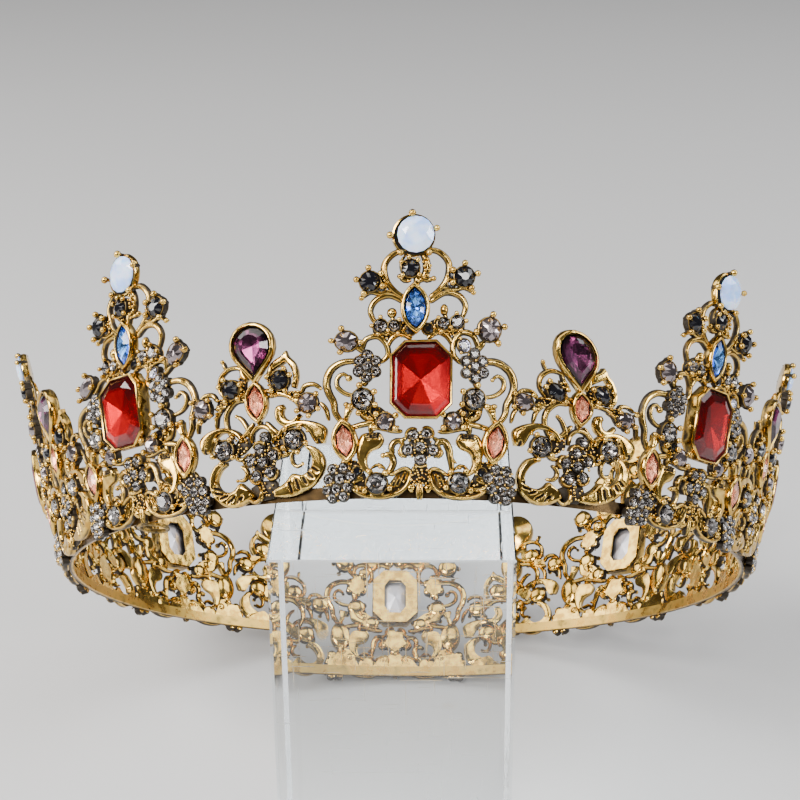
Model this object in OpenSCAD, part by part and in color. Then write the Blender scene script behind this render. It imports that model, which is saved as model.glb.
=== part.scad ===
// Baroque crown: a flared ring of sixteen cast openwork peaks round a flat hoop,
// set with glass stones, leaning on a clear square display block.
// Each casting is drawn flat, seen along its own middle, with u across and v up
// the wall from the hoop's foot. The drawing is then cut out of the flared wall.

/* [Crown] */
// Radius of the wall at the hoop's foot
ring_radius = 82.3; // [82:0.1:83]
// Outward lean of the wall, in degrees
wall_flare = 14; // [13:0.5:15]
// Clearance between pieces that sit against each other
seat_gap = 0.1; // [0.05:0.05:0.2]

/* [Hoop] */
// Height of the flat hoop, along the wall
hoop_height = 2.6; // [2.2:0.2:4.2]
// Thickness of the flat hoop
hoop_thickness = 1; // [0.8:0.1:1.2]
// How far the hoop starts below the wall's zero line
hoop_drop = 0.5; // [0:0.1:1]

/* [Castings] */
// Thickness of the cast openwork
cast_thickness = 1.4; // [1.2:0.1:1.8]
// Width of a main scroll at its middle
scroll_width = 1.5; // [1.3:0.1:1.7]
// Width of a thin twig or curl
twig_width = 1.1; // [1:0.1:1.3]
// Height of a stone cup's rim above the wall's zero surface
cup_top = 2.9; // [2.6:0.1:3.4]
// Wall of a stone cup or bezel
cup_wall = 0.5; // [0.4:0.1:0.7]

/* [Stones] */
// Radius of the round opal stones
opal_radius = 3.9; // [3.6:0.1:4]
// Width of the red step cut stones
red_width = 11.8; // [11:0.1:12]
// Height of the red step cut stones
red_height = 15.2; // [14.5:0.1:15.4]
// Corner cut of the red stones
red_corner = 2.8; // [2.2:0.1:3.2]
// Half width of the blue pointed oval stones
blue_half_width = 2.6; // [2.3:0.1:2.7]
// Half height of the blue pointed oval stones
blue_half_height = 4.8; // [4.5:0.1:4.9]
// Half width of the pink pointed oval stones
pink_half_width = 1.9; // [1.7:0.1:2]
// Half height of the pink pointed oval stones
pink_half_height = 3.7; // [3.5:0.1:3.8]
// Radius of the round end of the purple pear stones
pear_radius = 4.1; // [3.8:0.1:4.2]
// Distance from the pear's round centre down to its tip
pear_reach = 6.4; // [6:0.1:6.6]

/* [Display block] */
// Side of the clear block
block_side = 50; // [48:1:52]
// Chamfer of the block's long edges
block_chamfer = 0.6; // [0.4:0.1:1]

/* [Pose on the block] */
// Tilt of the crown, front up, in degrees
crown_tilt = 43.25; // [42:0.25:44]
// Turn of the crown about its own axis, in degrees
crown_turn = 2.8; // [0:0.1:3]
// How far the crown sits to the right of the block's middle
crown_shift = 1.4; // [0:0.1:2]
// How far the crown's middle lies behind the block's middle
crown_back = 54.6; // [54:0.1:56]

/* [Hidden] */
PEAKS = 8;
SECTOR = 360 / PEAKS;
STONE_SIDES = 8;
ROUND = 48;
SIN = sin(wall_flare);
COS = cos(wall_flare);

// Offsets from the wall's zero surface: the hoop's outer face and the castings' faces
hoop_face = 0.4;
cast_back = hoop_face + seat_gap;
cast_face = cast_back + cast_thickness;
pocket_floor = cast_back + 0.7;
pad_margin = 0.15;
BODY = 40;

// The crown's back stands on its lowest drop, which hangs this far below the zero line
drop_reach = 1.1;
crown_lift = (ring_radius - drop_reach * SIN + cast_face * COS) * sin(crown_tilt)
    + (drop_reach * COS + cast_face * SIN) * cos(crown_tilt);
// Its front bears on the block where the hoop's inner edge crosses the block's side
edge_radius = ring_radius - hoop_drop * SIN + (hoop_face - hoop_thickness) * COS;
edge_rise = -hoop_drop * COS - (hoop_face - hoop_thickness) * SIN;
edge_reach = block_side / 2 + crown_shift;
block_height = crown_lift + sqrt(edge_radius * edge_radius - edge_reach * edge_reach) * sin(crown_tilt)
    + edge_rise * cos(crown_tilt) - seat_gap;

// Stone seats of a large casting, one side: across, up, stone radius
large_black = [[9.6, 45.1, 2.05]];
large_black_top = [0, 47.6, 1.9];
large_hematite = [[14.8, 33.4, 2.4], [7.2, 15.8, 1.75]];
large_grey = [[7.8, 35.7, 1.35], [5.0, 35.5, 1.2], [11.7, 20.4, 2.25], [8.4, 3.0, 2.15]];
// Stone seats of a small casting, one side
small_black = [[5.6, 24.4, 2.0]];
small_hematite = [[11.7, 20.7, 2.1]];
small_grey = [[8.1, 11.7, 2.2]];

// Middles of the main stones and of the pointed ovals
opal_v = 54.4;
blue_v = 39.1;
red_v = 24.1;
pear_v = 32.9;
small_pink_v = 20.9;
edge_pink = [15.5, 11.5];

// Flower heads: across, up, ring of the petals, radius of a petal
large_flowers = [[11.0, 27.4, 2.15, 1.5], [16.5, 2.7, 2.3, 1.45]];
middle_flower = [0, 10.2, 2.75, 1.5];
small_flower = [0, 8.0, 3.0, 1.75];

// Scrolls of a large casting, one side: points along the middle, width at start and end
large_scrolls = [
    [[[2.0, 51.2], [4.6, 50.6], [6.6, 48.3], [6.3, 45.2], [4.6, 42.8], [2.4, 41.4]], 1, 1],
    [[[5.4, 43.0], [8.2, 42.6], [11.2, 41.9]], 0.8, 0.7],
    [[[2.4, 40.2], [5.6, 41.9], [8.4, 41.2], [9.7, 39.0], [8.8, 36.6]], 0.9, 0.8],
    [[[1.4, 34.2], [5.0, 34.2], [8.6, 34.0]], 1.1, 1.1],
    [[[12.0, 31.0], [10.6, 33.0], [8.6, 33.4], [7.1, 31.8], [6.7, 29.4], [8.2, 27.4]], 1, 0.9],
    [[[11.2, 29.8], [13.6, 32.4]], 1.1, 1.1],
    [[[11.9, 25.6], [11.7, 22.0]], 1.1, 1.1],
    [[[13.0, 21.2], [15.9, 21.5], [17.1, 23.3], [16.6, 25.1], [15.3, 25.4]], 0.8, 0.8],
    [[[12.6, 28.0], [15.8, 27.7], [18.3, 26.1], [19.3, 23.6], [18.9, 21.3], [17.8, 19.2],
        [17.4, 17.0], [16.0, 15.0]], 0.9, 0.9],
    [[[11.7, 18.6], [11.0, 16.6], [8.6, 15.6]], 1.1, 1.1],
    [[[9.0, 15.2], [11.7, 14.7], [14.6, 14.2]], 0.8, 0.8],
    [[[10.0, 15.0], [10.1, 12.4]], 1, 1],
    [[[2.6, 11.4], [4.6, 11.2], [6.0, 9.4], [6.2, 7.0], [7.2, 4.0]], 0.8, 0.9],
    [[[1.4, 5.2], [3.6, 3.8], [5.4, 1.6], [8.0, 0.1], [11.0, 0.0], [14.0, 1.6]], 1.1, 1.1],
    [[[15.5, 7.6], [16.2, 5.0]], 1.1, 1.1],
];
// Bits of metal that close the smallest openings, one side: across, up, radius
large_webs = [[8.8, 31.0, 2.2], [3.7, 7.3, 2.4], [1.2, 6.6, 2.0], [13.7, 5.5, 1.9], [12.2, 3.2, 2.1],
    [1.5, 33.2, 1.9], [5.2, 33.1, 2.0], [8.4, 1.2, 1.5], [11.0, 31.2, 1.2], [7.4, 29.4, 1.1]];
// Outline of the crescent leaf beside each edge stone
crescent = [[9.4, 13.0], [12.0, 12.7], [13.3, 10.0], [13.4, 7.0], [12.4, 4.6], [10.2, 4.2],
    [11.1, 6.0], [10.9, 7.7], [9.6, 8.9], [8.4, 10.4], [8.6, 12.0]];

// Scrolls of a small casting, one side
small_scrolls = [
    [[[3.8, 28.6], [6.4, 28.9], [8.5, 27.4], [9.0, 25.2], [7.6, 23.4]], 1.1, 0.9],
    [[[6.5, 28.6], [7.0, 30.3]], 0.7, 0.5],
    [[[1.0, 23.2], [4.6, 24.2]], 1, 1],
    [[[1.8, 21.6], [4.9, 21.7], [7.4, 19.4], [7.8, 16.2], [6.9, 12.6]], 0.9, 0.9],
    [[[3.0, 13.4], [3.3, 15.4], [4.6, 17.9]], 0.9, 0.7],
    [[[1.2, 13.6], [4.2, 13.3], [7.4, 12.6]], 0.9, 0.9],
    [[[7.4, 19.0], [10.4, 20.2]], 1, 1],
    [[[10.6, 21.8], [11.2, 23.6], [13.0, 23.7]], 0.8, 0.7],
    [[[3.4, 9.6], [6.4, 10.9]], 1.1, 1.1],
    [[[8.9, 9.8], [10.5, 7.2], [10.5, 3.8], [8.4, 1.2], [5.2, 0.5], [1.6, 1.2]], 1.1, 1.8],
    [[[4.0, 8.0], [5.9, 6.8], [7.6, 5.4]], 0.8, 0.6],
];
small_webs = [[0, 14.1, 2.6], [0.9, 3.8, 2.8], [9.4, 13.4, 1.5], [7.2, 26.1, 1.8]];
// Outline of the leaf over each grey stone
shoulder_leaf = [[4.4, 13.2], [6.4, 15.2], [9.4, 15.9], [12.6, 14.9], [15.0, 12.7],
    [13.4, 12.6], [12.9, 10.9], [11.2, 12.2], [8.0, 13.0]];

// Curve through points, with steps between each pair
function between(a, b, c, d, t) = 0.5 * (2 * b + (c - a) * t + (2 * a - 5 * b + 4 * c - d) * t * t
    + (3 * b - a - 3 * c + d) * t * t * t);
function curve(p, steps) = let (n = len(p))
    [for (i = [0:n - 2]) for (s = [0:steps - 1])
        between(p[max(i - 1, 0)], p[i], p[i + 1], p[min(i + 2, n - 1)], s / steps), p[n - 1]];
function side(p, i) = let (d = p[min(i + 1, len(p) - 1)] - p[max(i - 1, 0)]) [-d[1], d[0]] / norm(d);
// Outline of a band along a curve, fullest at the middle, from half width a to half width b
function swell(i, n, a, b, w) = let (t = i / (n - 1))
    w / 2 * (a + (b - a) * t) * (0.85 + 0.15 * sin(180 * t));
function band(p, a, b, w) = let (n = len(p)) concat(
    [for (i = [0:n - 1]) p[i] + side(p, i) * swell(i, n, a, b, w)],
    [for (i = [n - 1:-1:0]) p[i] - side(p, i) * swell(i, n, a, b, w)]);
// Pointed oval as two arcs, and the pear outline as an arc closed to its tip
function lens(w, h, n) = let (r = (w * w + h * h) / (2 * w), a = asin(h / r)) concat(
    [for (i = [0:n]) [w - r + r * cos(a - 2 * a * i / n), r * sin(a - 2 * a * i / n)]],
    [for (i = [1:n - 1]) [r - w - r * cos(a - 2 * a * i / n), -r * sin(a - 2 * a * i / n)]]);
function pear(r, reach, n) = let (a = acos(r / reach)) concat(
    [for (i = [0:n]) let (t = -90 + a + (360 - 2 * a) * i / n) r * [cos(t), sin(t)]],
    [[0, -reach]]);
function step_cut(w, h, c) = [[-w / 2 + c, -h / 2], [w / 2 - c, -h / 2], [w / 2, -h / 2 + c],
    [w / 2, h / 2 - c], [w / 2 - c, h / 2], [-w / 2 + c, h / 2], [-w / 2, h / 2 - c],
    [-w / 2, -h / 2 + c]];
function circle_points(r, n) = [for (i = [0:n - 1]) r * [cos(360 * (i + 0.5) / n), sin(360 * (i + 0.5) / n)]];
function mirrored(seats) = concat(seats, [for (s = seats) [-s[0], s[1], s[2]]]);

// A drawing point's fall behind the casting's flat middle plane, where the wall curves away
function fall(u, v) = let (a = ring_radius + v * SIN, k = cos(2 * wall_flare))
    COS * (sqrt(a * a - u * u * k) - a) / k;
function seat_turn(u, v) = atan2(u, ring_radius + v * SIN + fall(u, v) * COS);
function seat_height(u, v) = v - fall(u, v) * SIN / COS;

// Where the crown lies on its block
module placed() {
    translate([crown_shift, crown_back, crown_lift]) rotate([-crown_tilt, 0, 0])
        rotate([0, 0, crown_turn]) children();
}
// The plane of a casting: u to the right, v up the wall, depth outward
module wall_plane(turn) {
    rotate([0, 0, turn]) translate([0, -ring_radius, 0]) rotate([90 + wall_flare, 0, 0]) children();
}
// A seat on the wall, facing straight out of it
module seat(u, v) {
    rotate([0, 0, seat_turn(u, v)])
        translate([0, -ring_radius - seat_height(u, v) * SIN, seat_height(u, v) * COS])
            rotate([90 + wall_flare, 0, 0]) children();
}
// Profile of the flared wall between two offsets and two heights
module wall_profile(inner, outer, low, high) {
    polygon([for (c = [[low, inner], [high, inner], [high, outer], [low, outer]])
        [ring_radius + c[0] * SIN + c[1] * COS, c[0] * COS - c[1] * SIN]]);
}
// Flat faces that follow the wall, as the body behind the outer ones less that behind the inner ones
module behind(face_at, half, high, slabs) {
    intersection_for(k = [0:slabs - 1]) wall_plane((2 * k + 1 - slabs) * half / slabs)
        translate([-BODY, -4, face_at - BODY]) cube([2 * BODY, high, BODY]);
}
module wall_sector(half, high, slabs) {
    difference() {
        behind(cast_face, half, high, slabs);
        behind(cast_back, half, high + 20, slabs);
    }
}
module both_sides() {
    children();
    mirror([1, 0]) children();
}
module scrolls(list) {
    for (s = list) {
        p = curve(s[0], 2);
        w = (s[1] + s[2] < 1.7) ? twig_width : scroll_width;
        polygon(band(p, s[1], s[2], w));
        translate(p[len(p) - 1]) circle(d = w * s[2] * 0.9, $fn = ROUND);
    }
}
module pads(seats, margin) {
    for (s = seats) translate([s[0], s[1]]) circle(r = s[2] + margin, $fn = ROUND);
}
module flower_pad(f) {
    translate([f[0], f[1]]) {
        circle(r = f[2] * 0.8, $fn = ROUND);
        for (k = [0:4]) rotate(90 + 72 * k) translate([f[2], 0]) circle(r = f[3], $fn = ROUND);
    }
}

// Cups and bezels: a raised rim round each stone, and the pocket that the stone sits in
module cup(r) {
    translate([0, 0, cast_back + 0.3]) cylinder(r = r + cup_wall, h = cup_top - cast_back - 0.3, $fn = ROUND);
}
module cup_pocket(r) {
    translate([0, 0, pocket_floor]) cylinder(r = r + seat_gap, h = cup_top, $fn = ROUND);
}
module bezel(top) {
    translate([0, 0, cast_back + 0.3]) linear_extrude(top - cast_back - 0.3) children();
}
module bezel_pocket(floor_at) {
    translate([0, 0, floor_at]) linear_extrude(8) children();
}

// Cut stones, from rings of points: the table, the girdle and the point below
module cut_stone(outline, table, rise, depth, base) {
    n = len(outline);
    polyhedron(
        points = concat(
            [for (p = outline) [table * p[0], table * p[1], base + rise]],
            [for (p = outline) [p[0], p[1], base]],
            [[0, 0, base - depth]]),
        faces = concat(
            [[for (i = [n - 1:-1:0]) i]],
            [for (i = [0:n - 1]) [i, (i + 1) % n, n + (i + 1) % n, n + i]],
            [for (i = [0:n - 1]) [n + i, n + (i + 1) % n, 2 * n]]));
}
module chaton(r) {
    cut_stone(circle_points(r, STONE_SIDES), 0.58, 0.32 * r, 0.62 * r, cup_top - 0.1);
}
module chatons(large_seats, small_seats) {
    placed() for (k = [0:PEAKS - 1]) {
        rotate([0, 0, SECTOR * k])
            for (s = large_seats) seat(s[0], s[1]) chaton(s[2]);
        rotate([0, 0, SECTOR * (k + 0.5)])
            for (s = small_seats) seat(s[0], s[1]) chaton(s[2]);
    }
}

// The flat hoop at the foot of the wall
module base_hoop() {
    color("darkgoldenrod") placed() rotate_extrude($fn = 180)
        wall_profile(hoop_face - hoop_thickness, hoop_face, -hoop_drop, hoop_height - hoop_drop);
}

// Drawing of a large casting: the opal at the top, the red stone in the middle
module large_drawing() {
    both_sides() {
        scrolls(large_scrolls);
        pads(large_black, pad_margin);
        pads(large_hematite, pad_margin);
        pads(large_grey, pad_margin);
        pads(large_webs, 0);
        for (f = large_flowers) flower_pad(f);
        polygon(crescent);
        translate(edge_pink) polygon(lens(pink_half_width + 0.3, pink_half_height + 0.4, 6));
        translate([1.2, 1.7]) circle(r = 0.9, $fn = ROUND);
    }
    pads([[0, opal_v, opal_radius], large_black_top], pad_margin);
    translate([0, blue_v]) polygon(lens(blue_half_width + 0.3, blue_half_height + 0.4, 8));
    translate([0, red_v]) polygon(step_cut(red_width + 0.4, red_height + 0.4, red_corner));
    flower_pad(middle_flower);
    translate([-0.8, 43.6]) square([1.6, 3]);
    translate([-1.2, 12]) square([2.4, 5]);
    translate([0, 3.9]) circle(r = 1.9, $fn = ROUND);
    translate([-0.7, -drop_reach]) square([1.4, 4]);
}
module large_peak(i) {
    color("goldenrod") placed() rotate([0, 0, SECTOR * i]) difference() {
        union() {
            intersection() {
                wall_sector(15.5, 66, 3);
                wall_plane(0) translate([0, 0, -4]) linear_extrude(8) large_drawing();
            }
            for (s = mirrored(concat(large_black, large_hematite, large_grey))) seat(s[0], s[1]) cup(s[2]);
            for (s = [[0, opal_v, opal_radius], large_black_top]) seat(s[0], s[1]) cup(s[2]);
            seat(0, blue_v) bezel(3.3) polygon(lens(blue_half_width + 0.7, blue_half_height + 0.9, 8));
            seat(0, red_v) bezel(4.2) polygon(step_cut(red_width + 1.1, red_height + 1.1, red_corner + 0.3));
            for (x = [-1, 1]) seat(x * edge_pink[0], edge_pink[1])
                bezel(3.2) polygon(lens(pink_half_width + 0.7, pink_half_height + 0.9, 6));
        }
        for (s = mirrored(concat(large_black, large_hematite, large_grey))) seat(s[0], s[1]) cup_pocket(s[2]);
        for (s = [[0, opal_v, opal_radius], large_black_top]) seat(s[0], s[1]) cup_pocket(s[2]);
        seat(0, blue_v) bezel_pocket(pocket_floor)
            polygon(lens(blue_half_width + 0.15, blue_half_height + 0.2, 8));
        seat(0, red_v) bezel_pocket(pocket_floor) square([red_width - 1.2, red_height - 1.2], center = true);
        seat(0, red_v) bezel_pocket(2.6) polygon(step_cut(red_width + 0.25, red_height + 0.25, red_corner));
        seat(0, red_v) bezel_pocket(-2) square([4.6, 8.4], center = true);
        for (x = [-1, 1]) seat(x * edge_pink[0], edge_pink[1]) bezel_pocket(pocket_floor)
            polygon(lens(pink_half_width + 0.15, pink_half_height + 0.2, 6));
    }
}

// Drawing of a small casting: the pear stone over a flower
module small_drawing() {
    both_sides() {
        scrolls(small_scrolls);
        pads(small_black, pad_margin);
        pads(small_hematite, pad_margin);
        pads(small_grey, pad_margin);
        pads(small_webs, 0);
        polygon(shoulder_leaf);
    }
    translate([0, pear_v]) polygon(pear(pear_radius + 0.3, pear_reach + 0.5, 14));
    translate([0, small_pink_v]) polygon(lens(pink_half_width + 0.3, pink_half_height + 0.4, 6));
    flower_pad(small_flower);
    translate([-0.7, 24]) square([1.4, 2.5]);
}
module small_peak(i) {
    color("goldenrod") placed() rotate([0, 0, SECTOR * (i + 0.5)]) difference() {
        union() {
            intersection() {
                wall_sector(12, 44, 3);
                wall_plane(0) translate([0, 0, -4]) linear_extrude(8) small_drawing();
            }
            for (s = mirrored(concat(small_black, small_hematite, small_grey))) seat(s[0], s[1]) cup(s[2]);
            seat(0, pear_v) bezel(3.4) polygon(pear(pear_radius + 0.75, pear_reach + 1.2, 14));
            seat(0, small_pink_v) bezel(3.2) polygon(lens(pink_half_width + 0.6, pink_half_height + 0.8, 6));
        }
        for (s = mirrored(concat(small_black, small_hematite, small_grey))) seat(s[0], s[1]) cup_pocket(s[2]);
        seat(0, pear_v) bezel_pocket(pocket_floor) polygon(pear(pear_radius + 0.15, pear_reach + 0.25, 14));
        seat(0, small_pink_v) bezel_pocket(pocket_floor)
            polygon(lens(pink_half_width + 0.15, pink_half_height + 0.2, 6));
    }
}

// The main stones, one to a peak
module opal_stone(i) {
    color("aliceblue") placed() rotate([0, 0, SECTOR * i]) seat(0, opal_v)
        cut_stone(circle_points(opal_radius, 12), 0.62, 1.1, 1.55, cup_top);
}
module blue_stone(i) {
    color("royalblue") placed() rotate([0, 0, SECTOR * i]) seat(0, blue_v)
        cut_stone(lens(blue_half_width, blue_half_height, 5), 0.5, 0.8, 1.7, 3);
}
module red_stone(i) {
    color("crimson") placed() rotate([0, 0, SECTOR * i]) seat(0, red_v)
        cut_stone(step_cut(red_width, red_height, red_corner), 0.66, 1.5, 1.1, 3.3);
}
module purple_stone(i) {
    color("indigo") placed() rotate([0, 0, SECTOR * (i + 0.5)]) seat(0, pear_v)
        cut_stone(pear(pear_radius, pear_reach, 10), 0.58, 0.9, 1.8, 3.1);
}

// The fields of small stones, one node for each colour
module pink_stones() {
    color("lightsalmon") placed() for (k = [0:PEAKS - 1]) {
        rotate([0, 0, SECTOR * k]) for (x = [-1, 1]) seat(x * edge_pink[0], edge_pink[1])
            cut_stone(lens(pink_half_width, pink_half_height, 4), 0.5, 0.6, 1.5, 2.9);
        rotate([0, 0, SECTOR * (k + 0.5)]) seat(0, small_pink_v)
            cut_stone(lens(pink_half_width, pink_half_height, 4), 0.5, 0.6, 1.5, 2.9);
    }
}
module black_stones() {
    color("black") chatons(concat(mirrored(large_black), [large_black_top]), mirrored(small_black));
}
module hematite_stones() {
    color("slategray") chatons(mirrored(large_hematite), mirrored(small_hematite));
}
module grey_stones() {
    color("dimgray") chatons(mirrored(large_grey), mirrored(small_grey));
}

// The clear block that the crown's front leans on
module display_block() {
    half = block_side / 2;
    c = block_chamfer;
    color("lightcyan") linear_extrude(block_height) polygon([[-half + c, -half], [half - c, -half],
        [half, -half + c], [half, half - c], [half - c, half], [-half + c, half], [-half, half - c],
        [-half, -half + c]]);
}

base_hoop();
display_block();
for (i = [0:PEAKS - 1]) {
    large_peak(i);
    small_peak(i);
    opal_stone(i);
    blue_stone(i);
    red_stone(i);
    purple_stone(i);
}
pink_stones();
black_stones();
hematite_stones();
grey_stones();
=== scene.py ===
import math
from functools import cached_property

import bmesh
import bpy
import numpy as np
from mathutils import Matrix


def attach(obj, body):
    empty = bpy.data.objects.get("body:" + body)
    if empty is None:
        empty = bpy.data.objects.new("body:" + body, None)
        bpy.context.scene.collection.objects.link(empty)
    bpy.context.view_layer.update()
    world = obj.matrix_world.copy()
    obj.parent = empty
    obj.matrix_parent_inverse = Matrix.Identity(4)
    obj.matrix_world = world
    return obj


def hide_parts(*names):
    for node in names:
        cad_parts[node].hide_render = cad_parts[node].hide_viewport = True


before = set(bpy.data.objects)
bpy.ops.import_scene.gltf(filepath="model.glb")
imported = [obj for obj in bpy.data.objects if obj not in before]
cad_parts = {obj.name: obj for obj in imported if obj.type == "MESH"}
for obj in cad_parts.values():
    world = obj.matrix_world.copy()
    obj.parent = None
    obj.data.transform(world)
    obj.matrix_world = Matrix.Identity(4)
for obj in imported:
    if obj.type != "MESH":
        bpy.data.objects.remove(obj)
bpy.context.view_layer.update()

bl_info = {
    "name": "Baroque crown",
    "version": (1, 0, 0),
    "blender": (4, 5, 0),
    "location": "View3D > Sidebar > Crown",
    "description": "Cast openwork peaks, glass stones and a clear block around the packed crown",
    "category": "Add Mesh",
}

# Lengths of the drawings are in millimetres, as in the part's source.
MM = 0.001
PEAKS = 8
SECTOR = 360 / PEAKS
TALL_TURNS = [SECTOR * i for i in range(PEAKS)]
LOW_TURNS = [SECTOR * (i + 0.5) for i in range(PEAKS)]
# How far the castings' back and face stand out from the middle of the wall
BACK = 0.5
FACE = 1.9
# How far the backs of cups, leaves and bars bulge inward, and the height from which they do, clear of the
# hoop. For the middle line of a bar or leaf, half a width comes on top.
BULGE = 0.3
BAR_BULGE = 0.34
HOOP_CLEAR = 3.2
HALF_BAR = 0.8
# Edges sharper than this stay sharp on the castings
SMOOTH_UP_TO = math.radians(50)
# Peaks out of true, by sector angle: height they bend from, lean and turn in radians, shift aside and drop.
# Each bend eases in over a height of 9 mm.
BEND_EASE = 9
BENT = {0: (25, -0.05, -0.07, -0.1, 0), 315: (25, 0.15, 0, 2.2, 0.9), 22.5: (16, -0.23, 0.03, 0.8, 1.3),
        45: (-9, 0, 0, 0.8, 1.2)}


# ---------- values that a user would change ----------

def length(name, description, millimetres):
    return bpy.props.FloatProperty(name=name, description=description, default=millimetres * MM,
                                   min=0.0, unit="LENGTH", subtype="DISTANCE", precision=5)


def slant(name, description, degrees):
    return bpy.props.FloatProperty(name=name, description=description, default=math.radians(degrees),
                                   subtype="ANGLE", unit="ROTATION")


def lamp_power(name, description, watts):
    return bpy.props.FloatProperty(name=name, description=description, default=watts, min=0.0, unit="POWER")


def colour(name, description, value):
    return bpy.props.FloatVectorProperty(name=name, description=description, default=value,
                                         size=3, min=0.0, max=1.0, subtype="COLOR")


class CrownSizes(bpy.types.PropertyGroup):
    ring_radius: length("Ring radius", "Radius of the wall at the hoop's foot", 82.3)
    wall_flare: slant("Wall flare", "Outward lean of the wall", 14)
    crown_tilt: slant("Tilt", "Tilt of the crown, front up", 43.25)
    crown_turn: slant("Turn", "Turn of the crown about its own axis", 2.8)
    crown_shift: length("Shift", "How far the crown sits to the right of the block", 1.4)
    crown_back: length("Set back", "How far the crown's middle lies behind the block's", 54.6)
    scroll_width: length("Scroll width", "Width of a main scroll at its middle", 1.55)
    claw_ball: length("Claw ball", "Radius of the ball on a claw's tip", 0.72)
    bead: length("Bead", "Radius of a loose bead on the castings", 0.40)


class CrownColours(bpy.types.PropertyGroup):
    gold: colour("Rubbed gold", "Colour of the raised, rubbed metal", (0.93, 0.62, 0.15))
    gold_low: colour("Low gold", "Colour of the metal between", (0.50, 0.29, 0.06))
    # The patina is both the wax in the recesses and painted shade on flanks, cup walls, plates and undersides.
    patina: colour("Patina", "Colour of the dark recesses", (0.030, 0.022, 0.014))
    # The hoop's dark outer face: blackened bronze, made darker as painted shade from the castings in front of it.
    bronze: colour("Hoop bronze", "Colour of the hoop", (0.10, 0.06, 0.025))
    # Blue and pink are rim colours and blue heart a middle one; the other stones give middle colours. Each glass
    # is painted deeper at its rim and paler in its middle, as painted shade and light.
    red: colour("Red", "Colour of the step cut stones", (0.96, 0.003, 0.007))
    blue: colour("Blue", "Colour of the blue stones at their rims", (0.01, 0.08, 0.80))
    blue_heart: colour("Blue heart", "Colour of the blue stones at their middles", (0.16, 0.46, 1.0))
    purple: colour("Purple", "Colour of the pear stones", (0.36, 0.08, 0.22))
    pink: colour("Pink", "Colour of the pink stones at their rims", (1.0, 0.17, 0.08))
    smoke: colour("Smoke", "Colour of the grey stones", (0.52, 0.50, 0.49))


class CrownStage(bpy.types.PropertyGroup):
    floor: colour("Floor", "Colour of the plain floor", (0.62, 0.62, 0.63))
    key_power: lamp_power("Key light", "Power of the main soft light", 11.0)
    fill_power: lamp_power("Fill light", "Power of the side light", 3.0)
    sky: bpy.props.FloatProperty(name="Room light", description="Strength of the even room light",
                                 default=0.10, min=0.0)


# ---------- the crown's own geometry ----------

class Wall:
    """The flared wall of the crown, and where it lies on its block."""

    def __init__(self, sizes):
        self.radius = sizes.ring_radius / MM
        self.sin, self.cos = math.sin(sizes.wall_flare), math.cos(sizes.wall_flare)
        tilt = self.tilt = sizes.crown_tilt
        # The crown's low back stands on the floor by its castings, whose drops reach this far below the hoop
        drop = 1.1
        lift = ((self.radius - drop * self.sin + FACE * self.cos) * math.sin(tilt)
                + (drop * self.cos + FACE * self.sin) * math.cos(tilt))
        self.lying = (Matrix.Translation((sizes.crown_shift / MM, sizes.crown_back / MM, lift))
                      @ Matrix.Rotation(-tilt, 4, "X") @ Matrix.Rotation(sizes.crown_turn, 4, "Z"))

    def lean_back(self, u, v):
        """How far the round wall falls back behind a flat sheet that touches it at the peak's middle."""
        reach = self.radius + v * self.sin
        k = self.cos ** 2 - self.sin ** 2
        return self.cos * (np.sqrt(reach ** 2 - u ** 2 * k) - reach) / k

    def turn_and_height(self, u, v):
        """The angle round the crown and the height along the wall's slope of a drawing point."""
        w = self.lean_back(u, v)
        return np.arctan2(u, self.radius + v * self.sin + w * self.cos), v - w * self.sin / self.cos

    def wrap(self, p):
        """Drawing points (across, up, out) laid on the flared wall."""
        p = np.asarray(p, float)
        turn, height = self.turn_and_height(p[..., 0], p[..., 1])
        r = self.radius + height * self.sin + p[..., 2] * self.cos
        return np.stack([r * np.sin(turn), -r * np.cos(turn), height * self.cos - p[..., 2] * self.sin], -1)

    def seat(self, u, v, roll=0.0):
        """A flat seat on the wall at a drawing point: maps (across, up, out) about that point."""
        turn, height = self.turn_and_height(u, v)
        ct, st, cr, sr = math.cos(turn), math.sin(turn), math.cos(roll), math.sin(roll)

        def place(p):
            p = np.asarray(p, float)
            x = cr * p[..., 0] - sr * p[..., 1]
            up = sr * p[..., 0] + cr * p[..., 1] + height
            y = -self.radius - up * self.sin - p[..., 2] * self.cos
            z = up * self.cos - p[..., 2] * self.sin
            return np.stack([ct * x - st * y, st * x + ct * y, z], -1)

        return place

    def bent(self, points, turn):
        """Crown points of a peak, bent and shifted a little by handling."""
        p = np.array(points, float)
        foot, lean, roll, aside, drop = BENT.get(turn % 360, (0, 0, 0, 0, 0))
        t = np.clip((p[:, 2] - foot) / BEND_EASE, 0, 1)
        t = t * t * (3 - 2 * t)
        p[:, 0] += t * (aside + lean * (p[:, 2] - foot))
        p[:, 2] -= t * (roll * p[:, 0] + drop)
        return p

    def laid(self, points, turn=None):
        """Crown points in metres as the crown lies, those of one peak bent and turned to its sector first."""
        m = self.lying
        if turn is not None:
            points, m = self.bent(points, turn), m @ Matrix.Rotation(math.radians(turn), 4, "Z")
        m = np.array(m)
        return (points @ m[:3, :3].T + m[:3, 3]) * MM


def curve_through(points, step):
    """A smooth curve through the points, with about one step from each of its points to the next."""
    p = np.array(points, float)
    q = np.vstack([2 * p[0] - p[1], p, 2 * p[-1] - p[-2]])
    out = []
    for i in range(len(p) - 1):
        a, b, c, d = q[i:i + 4]
        n = max(1, round(float(np.linalg.norm(c - b)) / step))
        t = (np.arange(n) / n)[:, None]
        out.append(0.5 * (2 * b + (c - a) * t + (2 * a - 5 * b + 4 * c - d) * t ** 2
                          + (3 * b - a - 3 * c + d) * t ** 3))
    return np.vstack(out + [p[-1:]])


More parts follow.
